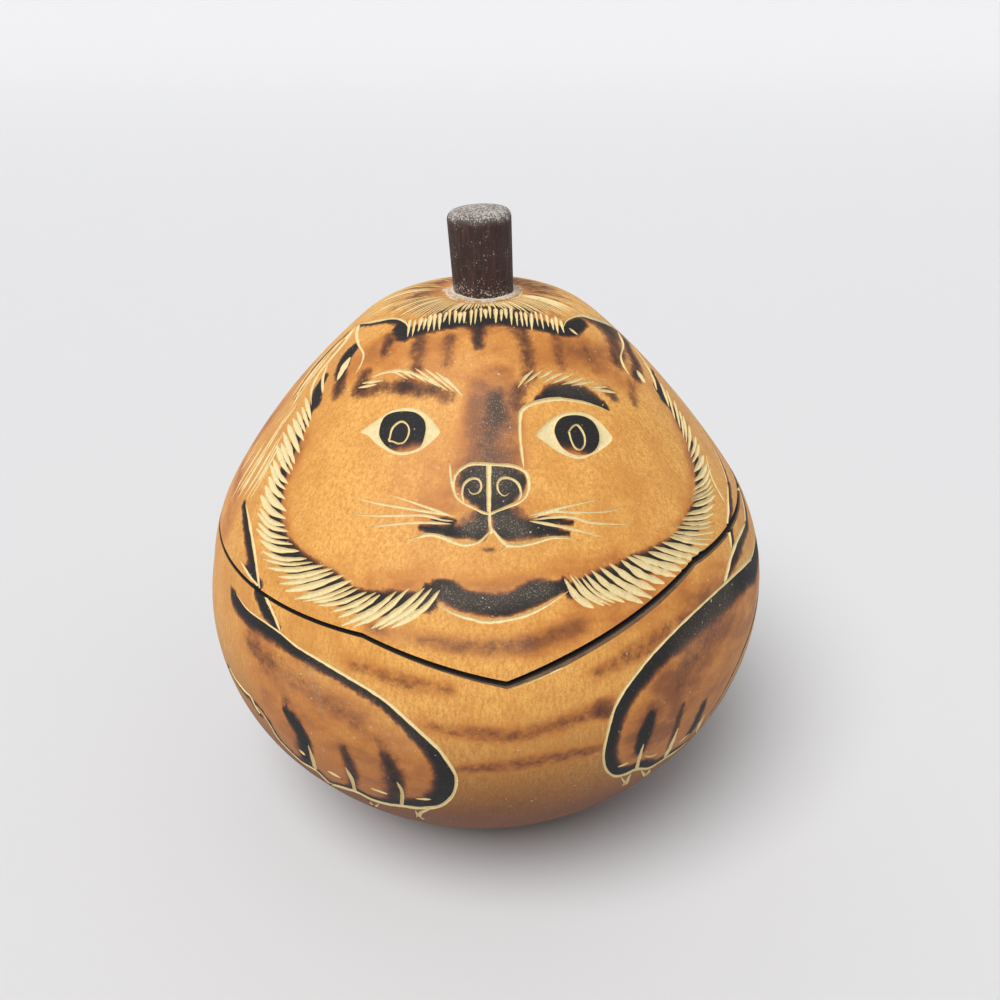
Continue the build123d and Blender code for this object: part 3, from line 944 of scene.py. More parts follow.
class Shell:
    """Vertices and faces of one half of the gourd, gathered ring by ring."""

    COLUMNS = 360

    def __init__(self):
        self.points = []
        self.count = 0
        self.faces = []
        self.groups = []
        self.azimuth = -math.pi + (np.arange(self.COLUMNS) + 0.5) * 2 * math.pi / self.COLUMNS

    def add(self, points):
        """Adds points and gives their indices."""
        index = self.count + np.arange(len(points))
        self.points.append(points)
        self.count += len(points)
        return index

    def ring(self, radius, height, shift=0.0):
        """Adds a ring with a vertex in each column."""
        radius = np.broadcast_to(radius, self.azimuth.shape)
        height = np.broadcast_to(height, self.azimuth.shape)
        across = radius * np.sin(self.azimuth) + shift
        return self.add(np.stack((across, -radius * np.cos(self.azimuth), height), -1))

    def worn_ring(self, lift):
        """Adds the ring where the black bevel meets the sawn face of the cut, raised by lift."""
        level = seam_on(SKIN, self.azimuth, lift)
        radius = SKIN.radius_at(level) - worn_width(self.azimuth) - slim_at(level)
        return self.ring(radius, level, shift_at(level))

    def inner_ring(self, inner, chart):
        """Adds a ring on the inside at a chart value for each column."""
        radius = np.interp(chart, inner.chart, inner.radius)
        return self.ring(radius, np.interp(chart, inner.chart, inner.height))

    def face(self, faces, group):
        """Adds faces that belong to a group."""
        self.faces.append(faces)
        self.groups.append(np.full(len(faces), group))

    def band(self, upper, lower, group):
        """Joins two rings of columns."""
        turned_upper = np.roll(upper, -1)
        turned_lower = np.roll(lower, -1)
        self.face(np.stack((upper, lower, turned_upper), -1), group)
        self.face(np.stack((turned_upper, lower, turned_lower), -1), group)

    def close(self, ring, height, group, faces_up):
        """Closes a ring with triangles to a point on the axis, which face up or down."""
        middle = np.full(ring.size, self.add(np.array(((0.0, 0.0, height),)))[0])
        turned = np.roll(ring, -1)
        self.face(np.stack((middle, ring, turned) if faces_up else (ring, middle, turned), -1), group)


# Groups of faces, which are also their material slots.
SKIN_GROUP = 0
INSIDE_GROUP = 1
RIM_GROUP = 2

# Azimuth to either side that the photograph shows, where the loose points are close.
FRONT_TURN = 1.75


def fill_points(first_walk, last_walk, spacing):
    """Loose points in staggered rings, one spacing apart in front and two apart behind."""
    rings = []
    for number, walk in enumerate(np.arange(first_walk, last_walk, spacing)):
        radius = np.interp(walk, SKIN.walk, SKIN.radius)
        count = 2 * int(math.pi * radius / spacing)
        index = np.arange(count)
        azimuth = (index + 0.5 * (number % 2)) * 2 * math.pi / count - math.pi
        kept = (np.abs(azimuth) < FRONT_TURN) | ((number % 2 == 0) & (index % 2 == 0))
        rings.append(to_chart(azimuth[kept], np.interp(walk, SKIN.walk, SKIN.chart)))
    return np.vstack(rings)


# Depth of a scraped place, width of its slope, and room without loose points along its edge and round cuts.
SCRAPE_DEPTH = 0.25
SCRAPE_SLOPE = 0.3
SCRAPE_CLEAR = 0.25
CUT_CLEAR = 0.22


def carve_skin(grooves, scraped, bounds, in_part, fill):
    """Triangulated skin of one half: chart points, faces, depth of the carving and which faces are cut.

    Outlines of grooves and scraped places are kept as edges. A scraped place is sunk, with a slope
    along its edge, except where the untouched island in it stands up.
    """
    net = Net()
    for ring in bounds:
        net.chain(ring, closed=True)
    for groove in grooves:
        net.groove(groove)
    clear = groove_fields(fill, grooves)[1]
    for outer, island in scraped:
        for region, slope in ((outer, SCRAPE_SLOPE), (island, -SCRAPE_SLOPE)):
            net.chain(region, closed=True)
            closed = np.vstack((region[-1:], region, region[:1]))
            inward = side_of(closed)[1:-1] * chart_scale(region)[:, None]
            inward *= np.sign(((region.mean(0) - region) * inward).sum(1).mean())
            net.chain(region + slope * inward, closed=True)
            clear = np.minimum(clear, np.abs(region_depth(fill, region)) - SCRAPE_CLEAR)
    net.scatter(fill[in_part(fill) & (clear > CUT_CLEAR)])
    points, faces = net.triangulate(in_part)
    middles = points[faces].mean(axis=1)
    depth = groove_fields(points, grooves)[0]
    cut = groove_fields(middles, grooves)[0] > 0
    for outer, island in scraped:
        room = np.minimum(region_depth(points, outer), -region_depth(points, island))
        depth = np.maximum(depth, SCRAPE_DEPTH * np.clip(room / SCRAPE_SLOPE, 0.0, 1.0))
        cut |= (region_depth(middles, outer) > 0) & (region_depth(middles, island) < 0)
    return points, faces, depth, cut


def make_piece(name, points, faces, materials, groups=None):
    """Smooth mesh object from whole arrays in millimetres, with a material slot for each group of faces."""
    mesh = bpy.data.meshes.new(name)
    mesh.from_pydata(np.asarray(points, float) * MILLIMETRE, [], faces)
    for material in materials:
        mesh.materials.append(material)
    if groups is not None:
        mesh.polygons.foreach_set("material_index", np.asarray(groups, np.int32))
    mesh.polygons.foreach_set("use_smooth", np.full(len(mesh.polygons), True))
    mesh.update(calc_edges=True)
    piece = bpy.data.objects.new(name, mesh)
    bpy.context.scene.collection.objects.link(piece)
    return piece


def store(mesh, name, domain, values):
    """Number on each point or face of a mesh, for its material to read."""
    attribute = mesh.attributes.new(name, "FLOAT", domain)
    attribute.data.foreach_set("value", np.asarray(values, np.float32))


def sharpen(mesh, faces, labels):
    """Marks as sharp each edge between faces of different labels."""
    count = len(mesh.vertices)
    each, place = np.unique(edge_keys(faces, count), return_inverse=True)
    lowest = np.full(each.size, 99)
    highest = np.full(each.size, -99)
    np.minimum.at(lowest, place, np.tile(labels, 3))
    np.maximum.at(highest, place, np.tile(labels, 3))
    ends = np.empty(2 * len(mesh.edges), np.int32)
    mesh.edges.foreach_get("vertices", ends)
    ends = ends.reshape(-1, 2).astype(np.int64)
    where = np.searchsorted(each, ends.min(1) * count + ends.max(1))
    sharp = mesh.attributes.new("sharp_edge", "BOOLEAN", "EDGE")
    sharp.data.foreach_set("value", lowest[where] != highest[where])


# Map: middle and radius of the skin's disc and of the small disc, and the gourd's radius.
DISC_MIDDLE = 0.446
DISC_RADIUS = 0.44
SMALL_MIDDLE = 0.862
SMALL_RADIUS = 0.13
GOURD_RADIUS = 52.5


def lay_out(mesh, faces, groups, points, walk):
    """Map of the surface: the skin as a disc by azimuth and distance walked, the inside as a small disc."""
    azimuth = np.arctan2(points[:, 0], -points[:, 1])
    on_skin = groups == SKIN_GROUP
    skin_reach = DISC_RADIUS * walk / walk[np.unique(faces[on_skin])].max()
    inner_reach = SMALL_RADIUS * np.clip(np.hypot(points[:, 0], points[:, 1]) / GOURD_RADIUS, 0.0, 1.0)
    direction = np.stack((np.sin(azimuth), -np.cos(azimuth)), -1)
    outer = DISC_MIDDLE + skin_reach[:, None] * direction
    inner = SMALL_MIDDLE + inner_reach[:, None] * direction
    corners = np.where(on_skin[:, None, None], outer[faces], inner[faces])
    layer = mesh.uv_layers.new(name="OFBake")
    layer.uv.foreach_set("vector", corners.astype(np.float32).ravel())


# Mane: unevenness of its hairs' spacing and lengths, as shares, and range of their widths in pixels.
MANE_DRIFT = 0.07
MANE_STRETCH = (-0.12, 0.2)
MANE_WIDTHS = (2.4, 7.2)


def mane_hairs(guides, steps, chance):
    """Lines of hairs from each guide hair to the next, a little uneven, and their widths in pixels."""
    guides = np.array(guides, float)
    low = np.repeat(np.arange(len(steps)), steps)
    share = np.concatenate([np.arange(step) / step for step in steps])
    share = (share + chance.uniform(-MANE_DRIFT, MANE_DRIFT, low.size))[:, None, None]
    lines = guides[low] * (1 - share) + guides[low + 1] * share
    stretch = chance.uniform(*MANE_STRETCH, (low.size, 2, 1))
    lines[:, 0] += (lines[:, 0] - lines[:, 1]) * stretch[:, 0]
    lines[:, 2] += (lines[:, 2] - lines[:, 1]) * stretch[:, 1]
    lines = np.vstack((lines, guides[-1:]))
    along = lines[:, 2] - lines[:, 0]
    along /= np.linalg.norm(along, axis=1)[:, None]
    apart = np.diff(lines[:, 1], axis=0)
    apart = np.abs(along[:-1, 0] * apart[:, 1] - along[:-1, 1] * apart[:, 0])
    apart = 0.5 * (np.append(apart, apart[-1]) + np.append(apart[0], apart))
    return lines, np.clip(apart - MANE_SLIT, *MANE_WIDTHS)


# Widths in pixels of the brows' hairs, the whiskers and the scratches, and depths as shares of a full cut.
BROW_WIDTH = 3.2
BROW_DEPTH = 0.8
WHISKER_WIDTHS = (1.5, 2.3, 3.0, 3.0)
WHISKER_DEPTH = 0.7
SCRATCH_WIDTH = 1.3
SCRATCH_DEPTH = 0.4
FRINGE_DEPTH = 0.7
CROWN_DEPTH = 0.55
# Fringe: pixels across of its first and last tooth and of its middle, and how much the teeth fan out.
FRINGE_ENDS = (411, 560)
FRINGE_MIDDLE = 485
FRINGE_FAN = 0.05
# Crown lines: first and last azimuth and step, in degrees, and distances walked from the crown.
CROWN_TURNS = ((-180, 180, 2.3), (-180, -66, 1.2), (66, 180, 1.2))
CROWN_START = 6.6
CROWN_STARTS = (6.8, 26.0)
CROWN_LENGTHS = (8.0, 20.0)
NEAR_HAIRLINE = 18.0
BACK_HAIRLINE = 50.0
# Back stripes: distances walked from the crown, and radii of their tint and of their scorch.
BACK_STRIPES = (31, 42, 53, 70, 83)
STRIPE_TINT = (4.0, 7.0, 5.6, 2.8)
STRIPE_SCORCH = (2.2, 4.0, 3.0, 1.2)


def fringe_teeth(depth, chance):
    """Grooves of the fringe's teeth, each from near the top line to near the bottom line."""
    top = smooth_path(FRINGE_TOP, 1.0)
    bottom = smooth_path(FRINGE_BOTTOM, 1.0)
    teeth = []
    for across in np.linspace(*FRINGE_ENDS, FRINGE_TEETH):
        root = across + chance.uniform(-1.2, 1.2)
        tip = across + FRINGE_FAN * (across - FRINGE_MIDDLE) + chance.uniform(-0.8, 0.8)
        start = (root, np.interp(root, top[:, 0], top[:, 1]) + chance.uniform(-2.0, 2.0))
        end = (tip, np.interp(tip, bottom[:, 0], bottom[:, 1]) + chance.uniform(-6.0, 2.0))
        width = chance.uniform(2.6, 4.6)
        teeth.append(photo_groove((start, end), width, TOOTH, FRINGE_DEPTH * depth, chance))
    return teeth


def crown_lines(depth, chance):
    """Grooves of the fine lines that run down from the peg, in front as far as the hairline."""
    hair_azimuth, hair_chart = from_chart(cast(smooth_path(HAIRLINE, COARSE_STEP))[0])
    hair_walk = np.interp(hair_chart, SKIN.chart, SKIN.walk)
    lines = []
    for azimuth in np.concatenate([np.arange(*turns) for turns in CROWN_TURNS]):
        turn = azimuth + chance.uniform(-0.5, 0.5)
        limit = np.interp(math.radians(turn), hair_azimuth, hair_walk, BACK_HAIRLINE, BACK_HAIRLINE)
        first = CROWN_START if limit < NEAR_HAIRLINE else chance.uniform(*CROWN_STARTS)
        last = min(limit + chance.uniform(-0.8, 0.8), first + chance.uniform(*CROWN_LENGTHS))
        if last - first > 1.2:
            line = ((turn, first), (turn + chance.uniform(-1.3, 1.3), last))
            lines.append(skin_groove(line, chance.uniform(0.22, 0.33), POINTED, CROWN_DEPTH * depth))
    return lines


def back_stripes(chance):
    """Lines of the pairs of stripes on the back."""
    lines = []
    for walk in BACK_STRIPES:
        for side in (-1, 1):
            near = 180 + side * chance.uniform(5, 11)
            far = 180 + side * chance.uniform(48, 64)
            bend = (0.5 * (near + far), walk + chance.uniform(-1, 1))
            lines.append(((near, walk + 4), bend, (far, walk + chance.uniform(0, 3))))
    return lines


def mane_scorch(guides):
    """Scorch between the hairs of one side of the mane, narrower towards the chin."""
    middle = np.array(guides)[:, 1]
    inner = np.array(guides)[:, 2]
    length = np.linalg.norm(inner - middle, axis=1)
    reach = np.interp(np.arange(len(guides)), (0, len(guides) - 4, len(guides) - 1), (0.74, 0.7, 0.5))
    return photo_scorch(middle + 0.35 * (inner - middle), reach * length + 1.0, 0.92)


def skin_marks():
    """Grooves, scorches, tints and scraped places of the whole gourd, shared by lid and bowl."""
    chance = np.random.default_rng(31)
    depth = bpy.context.scene.gourd_skin.cut_depth / MILLIMETRE
    grooves = []
    for group in (EAR_CUTS, FACE_CUTS, FLANK_CUTS, PAW_CUTS):
        step = FACE_STEP if group is FACE_CUTS else CUT_STEP
        for width, ends, *line in group.values():
            grooves.append(photo_groove(line, width, ends, depth, chance, step))
    for line in BROW_CUTS:
        grooves.append(photo_groove(line, BROW_WIDTH, LEAF, BROW_DEPTH * depth, chance))
    for line in WHISKER_CUTS:
        grooves.append(photo_groove(line, WHISKER_WIDTHS, POINTED, WHISKER_DEPTH * depth, chance))
    for guides, steps in ((LEFT_MANE, LEFT_MANE_STEPS), (RIGHT_MANE, RIGHT_MANE_STEPS)):
        for line, width in zip(*mane_hairs(guides, steps, chance)):
            grooves.append(photo_groove(line, width, HAIR, depth, chance))
    for line in SIDE_SCRATCHES:
        grooves.append(photo_groove(line, SCRATCH_WIDTH, POINTED, SCRATCH_DEPTH * depth, chance))
    grooves += fringe_teeth(depth, chance)
    grooves += crown_lines(depth, chance)
    scorches = photo_scorches(SCORCHES)
    for radius, strength, side, *line in SIDED_SCORCHES.values():
        scorches.append(photo_scorch(line, radius, strength, side))
    scorches += [mane_scorch(guides) for guides in (LEFT_MANE, RIGHT_MANE)]
    tints = photo_scorches(TINTS)
    tints.append(skin_scorch([(turn, 9) for turn in range(-180, 181, 45)], 7.0, 0.5))
    scorches.append(skin_scorch([(turn, 10) for turn in range(-180, 181, 45)], 4.5, 0.24))
    scorches.append(skin_scorch([(turn, 13) for turn in range(-110, 111, 22)], 7.5, 0.22))
    for width, ends, radii, *line in SIDE_CUTS.values():
        grooves.append(skin_groove(line, width, ends, depth))
        if radii:
            scorches.append(skin_scorch(line, radii, 1.0, LEFT_SIDE))
    for line in back_stripes(chance):
        tints.append(skin_scorch(line, STRIPE_TINT, 0.5))
        scorches.append(skin_scorch(line, STRIPE_SCORCH, 0.26))
    eyes = [(photo_region(eye), photo_region(iris))
            for eye, iris in ((LEFT_EYE, LEFT_IRIS), (RIGHT_EYE, RIGHT_IRIS))]
    return {"grooves": grooves, "scorches": scorches, "tints": tints, "eyes": eyes,
            "dust": photo_scorches(DUST)}


# Widths in millimetres of the edges of irises, nose and paws, and share of an iris that fades out below.
IRIS_EDGE = 0.12
IRIS_FADE = 0.26
NOSE_EDGE = 0.5
PAW_EDGE = 5.0


def skin_tones(points, marks):
    """Burn, brown and dust at chart points: scorches, irises that fade out below, nose, insides of paws."""
    burn = scorch_field(points, marks["scorches"])
    brown = scorch_field(points, marks["tints"])
    for _, iris in marks["eyes"]:
        room = region_depth(points, iris)
        low = iris[:, 1].min()
        high = iris[:, 1].max()
        fade = np.clip((points[:, 1] - low) / (IRIS_FADE * (high - low)), 0.0, 1.0)
        burn = np.maximum(burn, np.clip(1.0 + room / IRIS_EDGE, 0.0, 1.0) * fade)
        brown = np.maximum(brown, np.where(room > -IRIS_EDGE, 0.5, 0.0))
    nose = region_depth(points, photo_region(NOSE))
    burn = np.maximum(burn, np.clip(0.8 + nose / NOSE_EDGE, 0.0, 1.0))
    left_paw = cast(smooth_path(LEFT_PAW, COARSE_STEP))[0]
    right_paw = cast(smooth_path(RIGHT_PAW, COARSE_STEP))[0]
    for paw in (left_paw, np.vstack((right_paw, skin_path(RIGHT_ELBOW)[2:-2]))):
        room = region_depth(points, paw)
        brown = np.maximum(brown, 0.5 * np.clip(0.1 + room / PAW_EDGE, 0.0, 1.0))
    return burn, brown, scorch_field(points, marks["dust"])


def finish_shell(name, shell, worn, carved, marks, body, node):
    """Makes a half of the gourd from its shell, with tones for the material and its worn edge black with
    char and painted gap shadow.
    """
    chart_points, skin_faces, depth, cut = carved
    points = np.vstack(shell.points)
    faces = np.vstack(shell.faces)
    groups = np.concatenate(shell.groups)
    materials = (skin_material(), inside_material(), rim_material())
    piece = make_piece(name, points, faces, materials, groups)
    mesh = piece.data
    on_skin = len(chart_points)
    rest = np.zeros(len(points) - on_skin)
    burn, brown, dust = [np.concatenate((tone, rest)) for tone in skin_tones(chart_points, marks)]
    # The worn ring is burnt black: char and painted shadow of the saw gap.
    burn[worn] = 1.0
    store(mesh, "burn", "POINT", burn)
    store(mesh, "brown", "POINT", brown)
    store(mesh, "dust", "POINT", dust)
    store(mesh, "gouge", "POINT", np.concatenate((depth, rest)))
    labels = np.zeros(len(faces))
    labels[:len(skin_faces)] = cut
    store(mesh, "cut", "FACE", labels)
    sharpen(mesh, faces, (groups * 2 + labels).astype(int))
    chart = np.concatenate((from_chart(chart_points)[1], np.full(rest.size, SKIN.chart[-1])))
    walk = np.interp(chart, SKIN.chart, SKIN.walk)
    if body == "bowl":
        walk = SKIN.walk[-1] + SKIN.radius[-1] - walk
        walk[on_skin:] = np.hypot(points[on_skin:, 0], points[on_skin:, 1])
    lay_out(mesh, faces, groups, points, walk)
    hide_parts(node)
    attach(piece, body)


class GourdSkinSettings(bpy.types.PropertyGroup):
    """Sizes and colours of the gourd's wall."""
    wall: bpy.props.FloatProperty(
        name="Wall", description="Thickness of the dried wall", default=0.004, unit="LENGTH")
    cut_depth: bpy.props.FloatProperty(
        name="Cut depth", description="Depth of a full gouge cut", default=0.00042, unit="LENGTH")
    gold: bpy.props.FloatVectorProperty(
        name="Gold", description="Pale parts of the skin", default=(0.86, 0.465, 0.118), subtype="COLOR")
    amber: bpy.props.FloatVectorProperty(
        name="Amber", description="Darker parts of the skin",
        default=(0.60, 0.255, 0.050), subtype="COLOR")
    rust: bpy.props.FloatVectorProperty(
        name="Rust", description="Skin browned by heat", default=(0.225, 0.072, 0.024), subtype="COLOR")
    umber: bpy.props.FloatVectorProperty(
        name="Umber", description="Skin on the edge of a scorch",
        default=(0.068, 0.026, 0.014), subtype="COLOR")
    char: bpy.props.FloatVectorProperty(
        name="Char", description="Scorched skin", default=(0.0150, 0.0138, 0.0138), subtype="COLOR")
    cream: bpy.props.FloatVectorProperty(
        name="Cream", description="Bare wood in the cuts", default=(0.80, 0.67, 0.37), subtype="COLOR")
    pith: bpy.props.FloatVectorProperty(
        name="Pith", description="Inside of the gourd", default=(0.52, 0.36, 0.19), subtype="COLOR")
    # Dark partly from handling, partly as painted shade inside the saw gap.
    sawn: bpy.props.FloatVectorProperty(
        name="Sawn edge", description="Sawn and handled edges",
        default=(0.16, 0.085, 0.04), subtype="COLOR")


class PegSettings(bpy.types.PropertyGroup):
    """Colours of the peg and its glue."""
    bark: bpy.props.FloatVectorProperty(
        name="Bark", description="Side of the peg", default=(0.036, 0.015, 0.012), subtype="COLOR")
    end_grain: bpy.props.FloatVectorProperty(
        name="End grain", description="Dusty end of the peg",
        default=(0.27, 0.235, 0.21), subtype="COLOR")
    glue: bpy.props.FloatVectorProperty(
        name="Glue", description="Dried glue", default=(0.80, 0.72, 0.58), subtype="COLOR")


class StageSettings(bpy.types.PropertyGroup):
    """Floor and light."""
    floor: bpy.props.FloatVectorProperty(
        name="Floor", description="Colour of the floor", default=(0.66, 0.66, 0.67), subtype="COLOR")
    key_power: bpy.props.FloatProperty(
        name="Main light", description="Strength of the main light", default=3.0, subtype="FACTOR")
    fill_power: bpy.props.FloatProperty(
        name="Side light", description="Strength of the light on the right",
        default=0.25, subtype="FACTOR")
    sky: bpy.props.FloatProperty(
        name="Sky", description="Strength of the even light", default=0.24, subtype="FACTOR")


class Flow:
    """A value on its way through a material's nodes, so that shading is written as arithmetic."""

    def __init__(self, tree, socket):
        self.tree = tree
        self.socket = socket

    def node(self, kind, settings, inputs, output=0):
        """Adds any other node: its settings first, then the values or links of its sockets."""
        made = self.tree.nodes.new(kind)
        for name, value in settings.items():
            setattr(made, name, value)
        for key, value in inputs.items():
            if isinstance(value, Flow):
                self.tree.links.new(value.socket, made.inputs[key])
            else:
                made.inputs[key].default_value = value
        return Flow(self.tree, made.outputs[output])

    def math(self, operation, first, second=0.0):
        """Adds a Math node."""
        return self.node("ShaderNodeMath", {"operation": operation}, {0: first, 1: second})

    def __add__(self, other):
        return self.math("ADD", self, other)

    def __radd__(self, other):
        return self.math("ADD", other, self)

    def __sub__(self, other):
        return self.math("SUBTRACT", self, other)

    def __rsub__(self, other):
        return self.math("SUBTRACT", other, self)

    def __mul__(self, other):
        return self.math("MULTIPLY", self, other)

    def __rmul__(self, other):
        return self.math("MULTIPLY", other, self)

    def between(self, low, high):
        """Smooth step from nought at low to one at high."""
        return self.node("ShaderNodeMapRange", {"interpolation_type": "SMOOTHSTEP"},
                         {"Value": self, "From Min": low, "From Max": high})

    def attribute(self, name):
        """Number stored on the mesh."""
        return self.node("ShaderNodeAttribute", {"attribute_name": name}, {}, "Fac")

    def place(self):
        """Object coordinates in millimetres."""
        at = self.node("ShaderNodeTexCoord", {}, {}, "Object")
        return self.node("ShaderNodeVectorMath", {"operation": "SCALE"}, {0: at, "Scale": 1 / MILLIMETRE})

    def stretched(self, scale):
        """A place with its parts multiplied."""
        return self.node("ShaderNodeVectorMath", {"operation": "MULTIPLY"}, {0: self, 1: scale})

    def height(self):
        """Height of a place."""
        return self.node("ShaderNodeSeparateXYZ", {}, {0: self}, "Z")

    def reach(self):
        """Distance of a place from the upright axis."""
        flat = self.stretched((1.0, 1.0, 0.0))
        return self.node("ShaderNodeVectorMath", {"operation": "LENGTH"}, {0: flat}, "Value")

    def noise(self, scale, detail=3.0, roughness=0.55):
        """Cloudy noise round a half at a place, in cycles per millimetre."""
        return self.node("ShaderNodeTexNoise", {}, {"Vector": self, "Scale": scale, "Detail": detail,
                                                    "Roughness": roughness})

    def mix(self, share, first, second, blend="MIX"):
        """Colour between two colours, or the first blended with the second as far as the share says."""
        settings = {"data_type": "RGBA", "blend_type": blend}
        return self.node("ShaderNodeMix", settings, {0: share, 6: first, 7: second}, 2)

    def layers(self, base, *layers):
        """Colour with others laid over it in turn, each as far as its share says."""
        for share, tone in layers:
            base = self.mix(share, base, colour(tone))
        return base


def colour(values):
    """Colour with full cover, for a socket."""
    return (*values, 1.0)


def new_material(name):
    """Material with one shader, as its start for a flow of values and the shader itself."""
    material = bpy.data.materials.new(name)
    material.use_nodes = True
    shader = next(node for node in material.node_tree.nodes if node.type == "BSDF_PRINCIPLED")
    return material, Flow(material.node_tree, None), shader


def feed(shader, **inputs):
    """Links values to a shader's sockets or sets them there."""
    for name, value in inputs.items():
        socket = shader.inputs[name.replace("_", " ")]
        if isinstance(value, Flow):
            value.tree.links.new(value.socket, socket)
        else:
            socket.default_value = value


def bumps(height, distance, strength):
    """Normal bent by a height in millimetres."""
    inputs = {"Height": height, "Distance": distance * MILLIMETRE, "Strength": strength}
    return height.node("ShaderNodeBump", {}, inputs, "Normal")


def skin_material():
    """Golden skin browned by heat, mottled scorches with specks of dust, and cream cuts."""
    tones = bpy.context.scene.gourd_skin
    orange = (0.54, 0.185, 0.036)
    # Tone multiplied in towards the foot: partly a browner base, partly painted shade of the lower bowl.
    base_shade = (0.24, 0.135, 0.05)
    dust_film = (0.36, 0.28, 0.20)
    dust_grit = (0.60, 0.50, 0.40)
    pale_lint = (0.74, 0.64, 0.50)
    glue_powder = (0.80, 0.71, 0.56)
    shallow_cut = (0.72, 0.47, 0.17)
    tan_fleck = (0.60, 0.40, 0.15)
    brown_fleck = (0.42, 0.25, 0.09)
    material, flow, shader = new_material("Carved gourd skin")
    at = flow.place()
    broad = at.noise(0.045, 3.0)
    cloud = at.stretched((1.0, 1.0, 0.35)).noise(0.22, 4.0)
    smear = at.stretched((0.6, 0.6, 1.1)).noise(0.26, 4.0, 0.6)
    mottle = at.noise(0.55, 4.0, 0.65)
    fibre = at.stretched((1.0, 1.0, 0.3)).noise(1.9, 5.0, 0.75)
    fleck = at.noise(1.4, 4.0, 0.7)
    grain = at.noise(3.3, 2.0, 0.6)
    speck = at.noise(5.2, 1.0, 0.4)
    lint = at.noise(1.7, 0.0, 0.0)
    brown = flow.attribute("brown")
    # Burn holds the scorches, and on the right paw partly painted shade.
    burn = flow.attribute("burn")
    # Dust holds pale dust, and on the right side partly painted sheen.
    dust = flow.attribute("dust")
    cut = flow.attribute("cut")
    gouge = flow.attribute("gouge")
    height = at.height()
    # Darker towards the foot: partly a browner base, partly painted shade where less light reaches the
    # lower bowl.
    foot_stain_and_shade = 1.0 - (height + (cloud - 0.5) * 10.0).between(20.0, 54.0)
    powder = (fleck * 0.9 + 0.42 * (1.0 - at.reach().between(5.6, 9.2))).between(0.72, 0.86)
    crown = height.between(GOURD_HEIGHT - 3.0, GOURD_HEIGHT - 1.0)
    edge = (burn * (1.0 - burn) * 4.0).between(0.0, 0.8)
    ragged = burn + (mottle - 0.5) * 0.8 * edge + (fleck - 0.5) * 0.35 * edge
    # Browned by heat, and on the right paw partly painted shade.
    toasted_and_shaded = brown * (0.5 + 1.0 * smear.between(0.25, 0.75)) + (fleck - 0.5) * 0.45 * brown
    patch = (broad * 0.5 + cloud * 0.5).between(0.4, 0.64)
    grit = (speck + dust * 0.15).between(0.63, 0.77) * (0.1 + 0.42 * dust)
    skin = flow.layers(
        colour(tones.gold),
        (patch * 0.7, tones.amber),
        (fibre.between(0.37, 0.70) * 0.95, tones.amber),
        (grain.between(0.42, 0.74) * 0.56, orange))
    skin = flow.layers(
        flow.mix(foot_stain_and_shade, skin, colour(base_shade), "MULTIPLY"),
        (toasted_and_shaded.between(0.0, 0.55) * 0.8, orange),
        (toasted_and_shaded.between(0.3, 1.05) * 0.9, tones.rust),
        (ragged.between(0.03, 0.38) * 0.85, tones.rust),
        (ragged.between(0.2, 0.64), tones.umber),
        (ragged.between(0.5, 0.95), tones.char),
        (dust * 0.26, dust_film),
        (grit, dust_grit),
        (lint.between(0.80, 0.86) * (0.35 + 0.9 * dust), pale_lint),
        (powder * crown * 0.85, glue_powder))
    bare = flow.layers(
        colour(shallow_cut),
        (gouge.between(0.01, 0.10), tones.cream),
        ((fleck - 0.42) * 0.9, tan_fleck),
        (grain.between(0.54, 0.74) * 0.45, brown_fleck))
    feed(shader, Base_Color=flow.mix(cut, skin, bare),
         Roughness=0.54 + 0.24 * cut + 0.2 * burn + (grain - 0.5) * 0.16,
         Normal=bumps(grain * 0.4 + fibre * 0.4 + mottle * 0.4, 0.14, 0.4),
         Specular_IOR_Level=0.32)
    return material


def inside_material():
    """Dry, fibrous pith, stained in clouds."""
    tones = bpy.context.scene.gourd_skin
    stain = (0.33, 0.19, 0.085)
    dark_fibre = (0.22, 0.12, 0.05)
    material, flow, shader = new_material("Gourd inside")
    at = flow.place()
    cloud = at.noise(0.08, 4.0, 0.6)
    fibre = at.stretched((1.0, 1.0, 0.25)).noise(1.1, 4.0, 0.65)
    pith = flow.layers(
        colour(tones.pith),
        (cloud.between(0.38, 0.7), stain),
        (fibre.between(0.5, 0.75) * 0.5, dark_fibre))
    feed(shader, Base_Color=pith, Roughness=0.85, Normal=bumps(fibre, 0.5, 0.7))
    return material


def rim_material():
    """Sawn edge of the wall, darkened partly by handling and partly as painted shade of the saw gap, with
    pale saw marks.
    """
    tones = bpy.context.scene.gourd_skin
    smudge = (0.075, 0.04, 0.022)
    saw_mark = (0.36, 0.24, 0.12)
    # Near black at the worn ring: char and painted shadow of the saw gap.
    soot_and_gap_shadow = (0.010, 0.007, 0.006)
    material, flow, shader = new_material("Sawn gourd edge")
    at = flow.place()
    cloud = at.noise(0.35, 3.0)
    grain = at.noise(2.6, 3.0, 0.65)
    char_and_gap_shadow = (flow.attribute("burn") + (grain - 0.5) * 0.5).between(0.55, 0.9)
    sawn = flow.layers(
        colour(tones.sawn),
        (cloud.between(0.4, 0.7), smudge),
        (grain.between(0.58, 0.76) * 0.5, saw_mark),
        (char_and_gap_shadow, soot_and_gap_shadow))
    feed(shader, Base_Color=sawn, Roughness=0.8, Normal=bumps(grain, 0.25, 0.6))
    return material


# Azimuths round the saw cut, spacing of the loose points on lid and bowl, and the distances walked from the
# crown to which those of the lid and from which those of the bowl are laid.
ROUND_TRIP = np.linspace(-math.pi, math.pi, 900, endpoint=False)
LID_SPACING = 0.72
BOWL_SPACING = 0.9
LID_WALK = 78.0
BOWL_WALK = 36.0


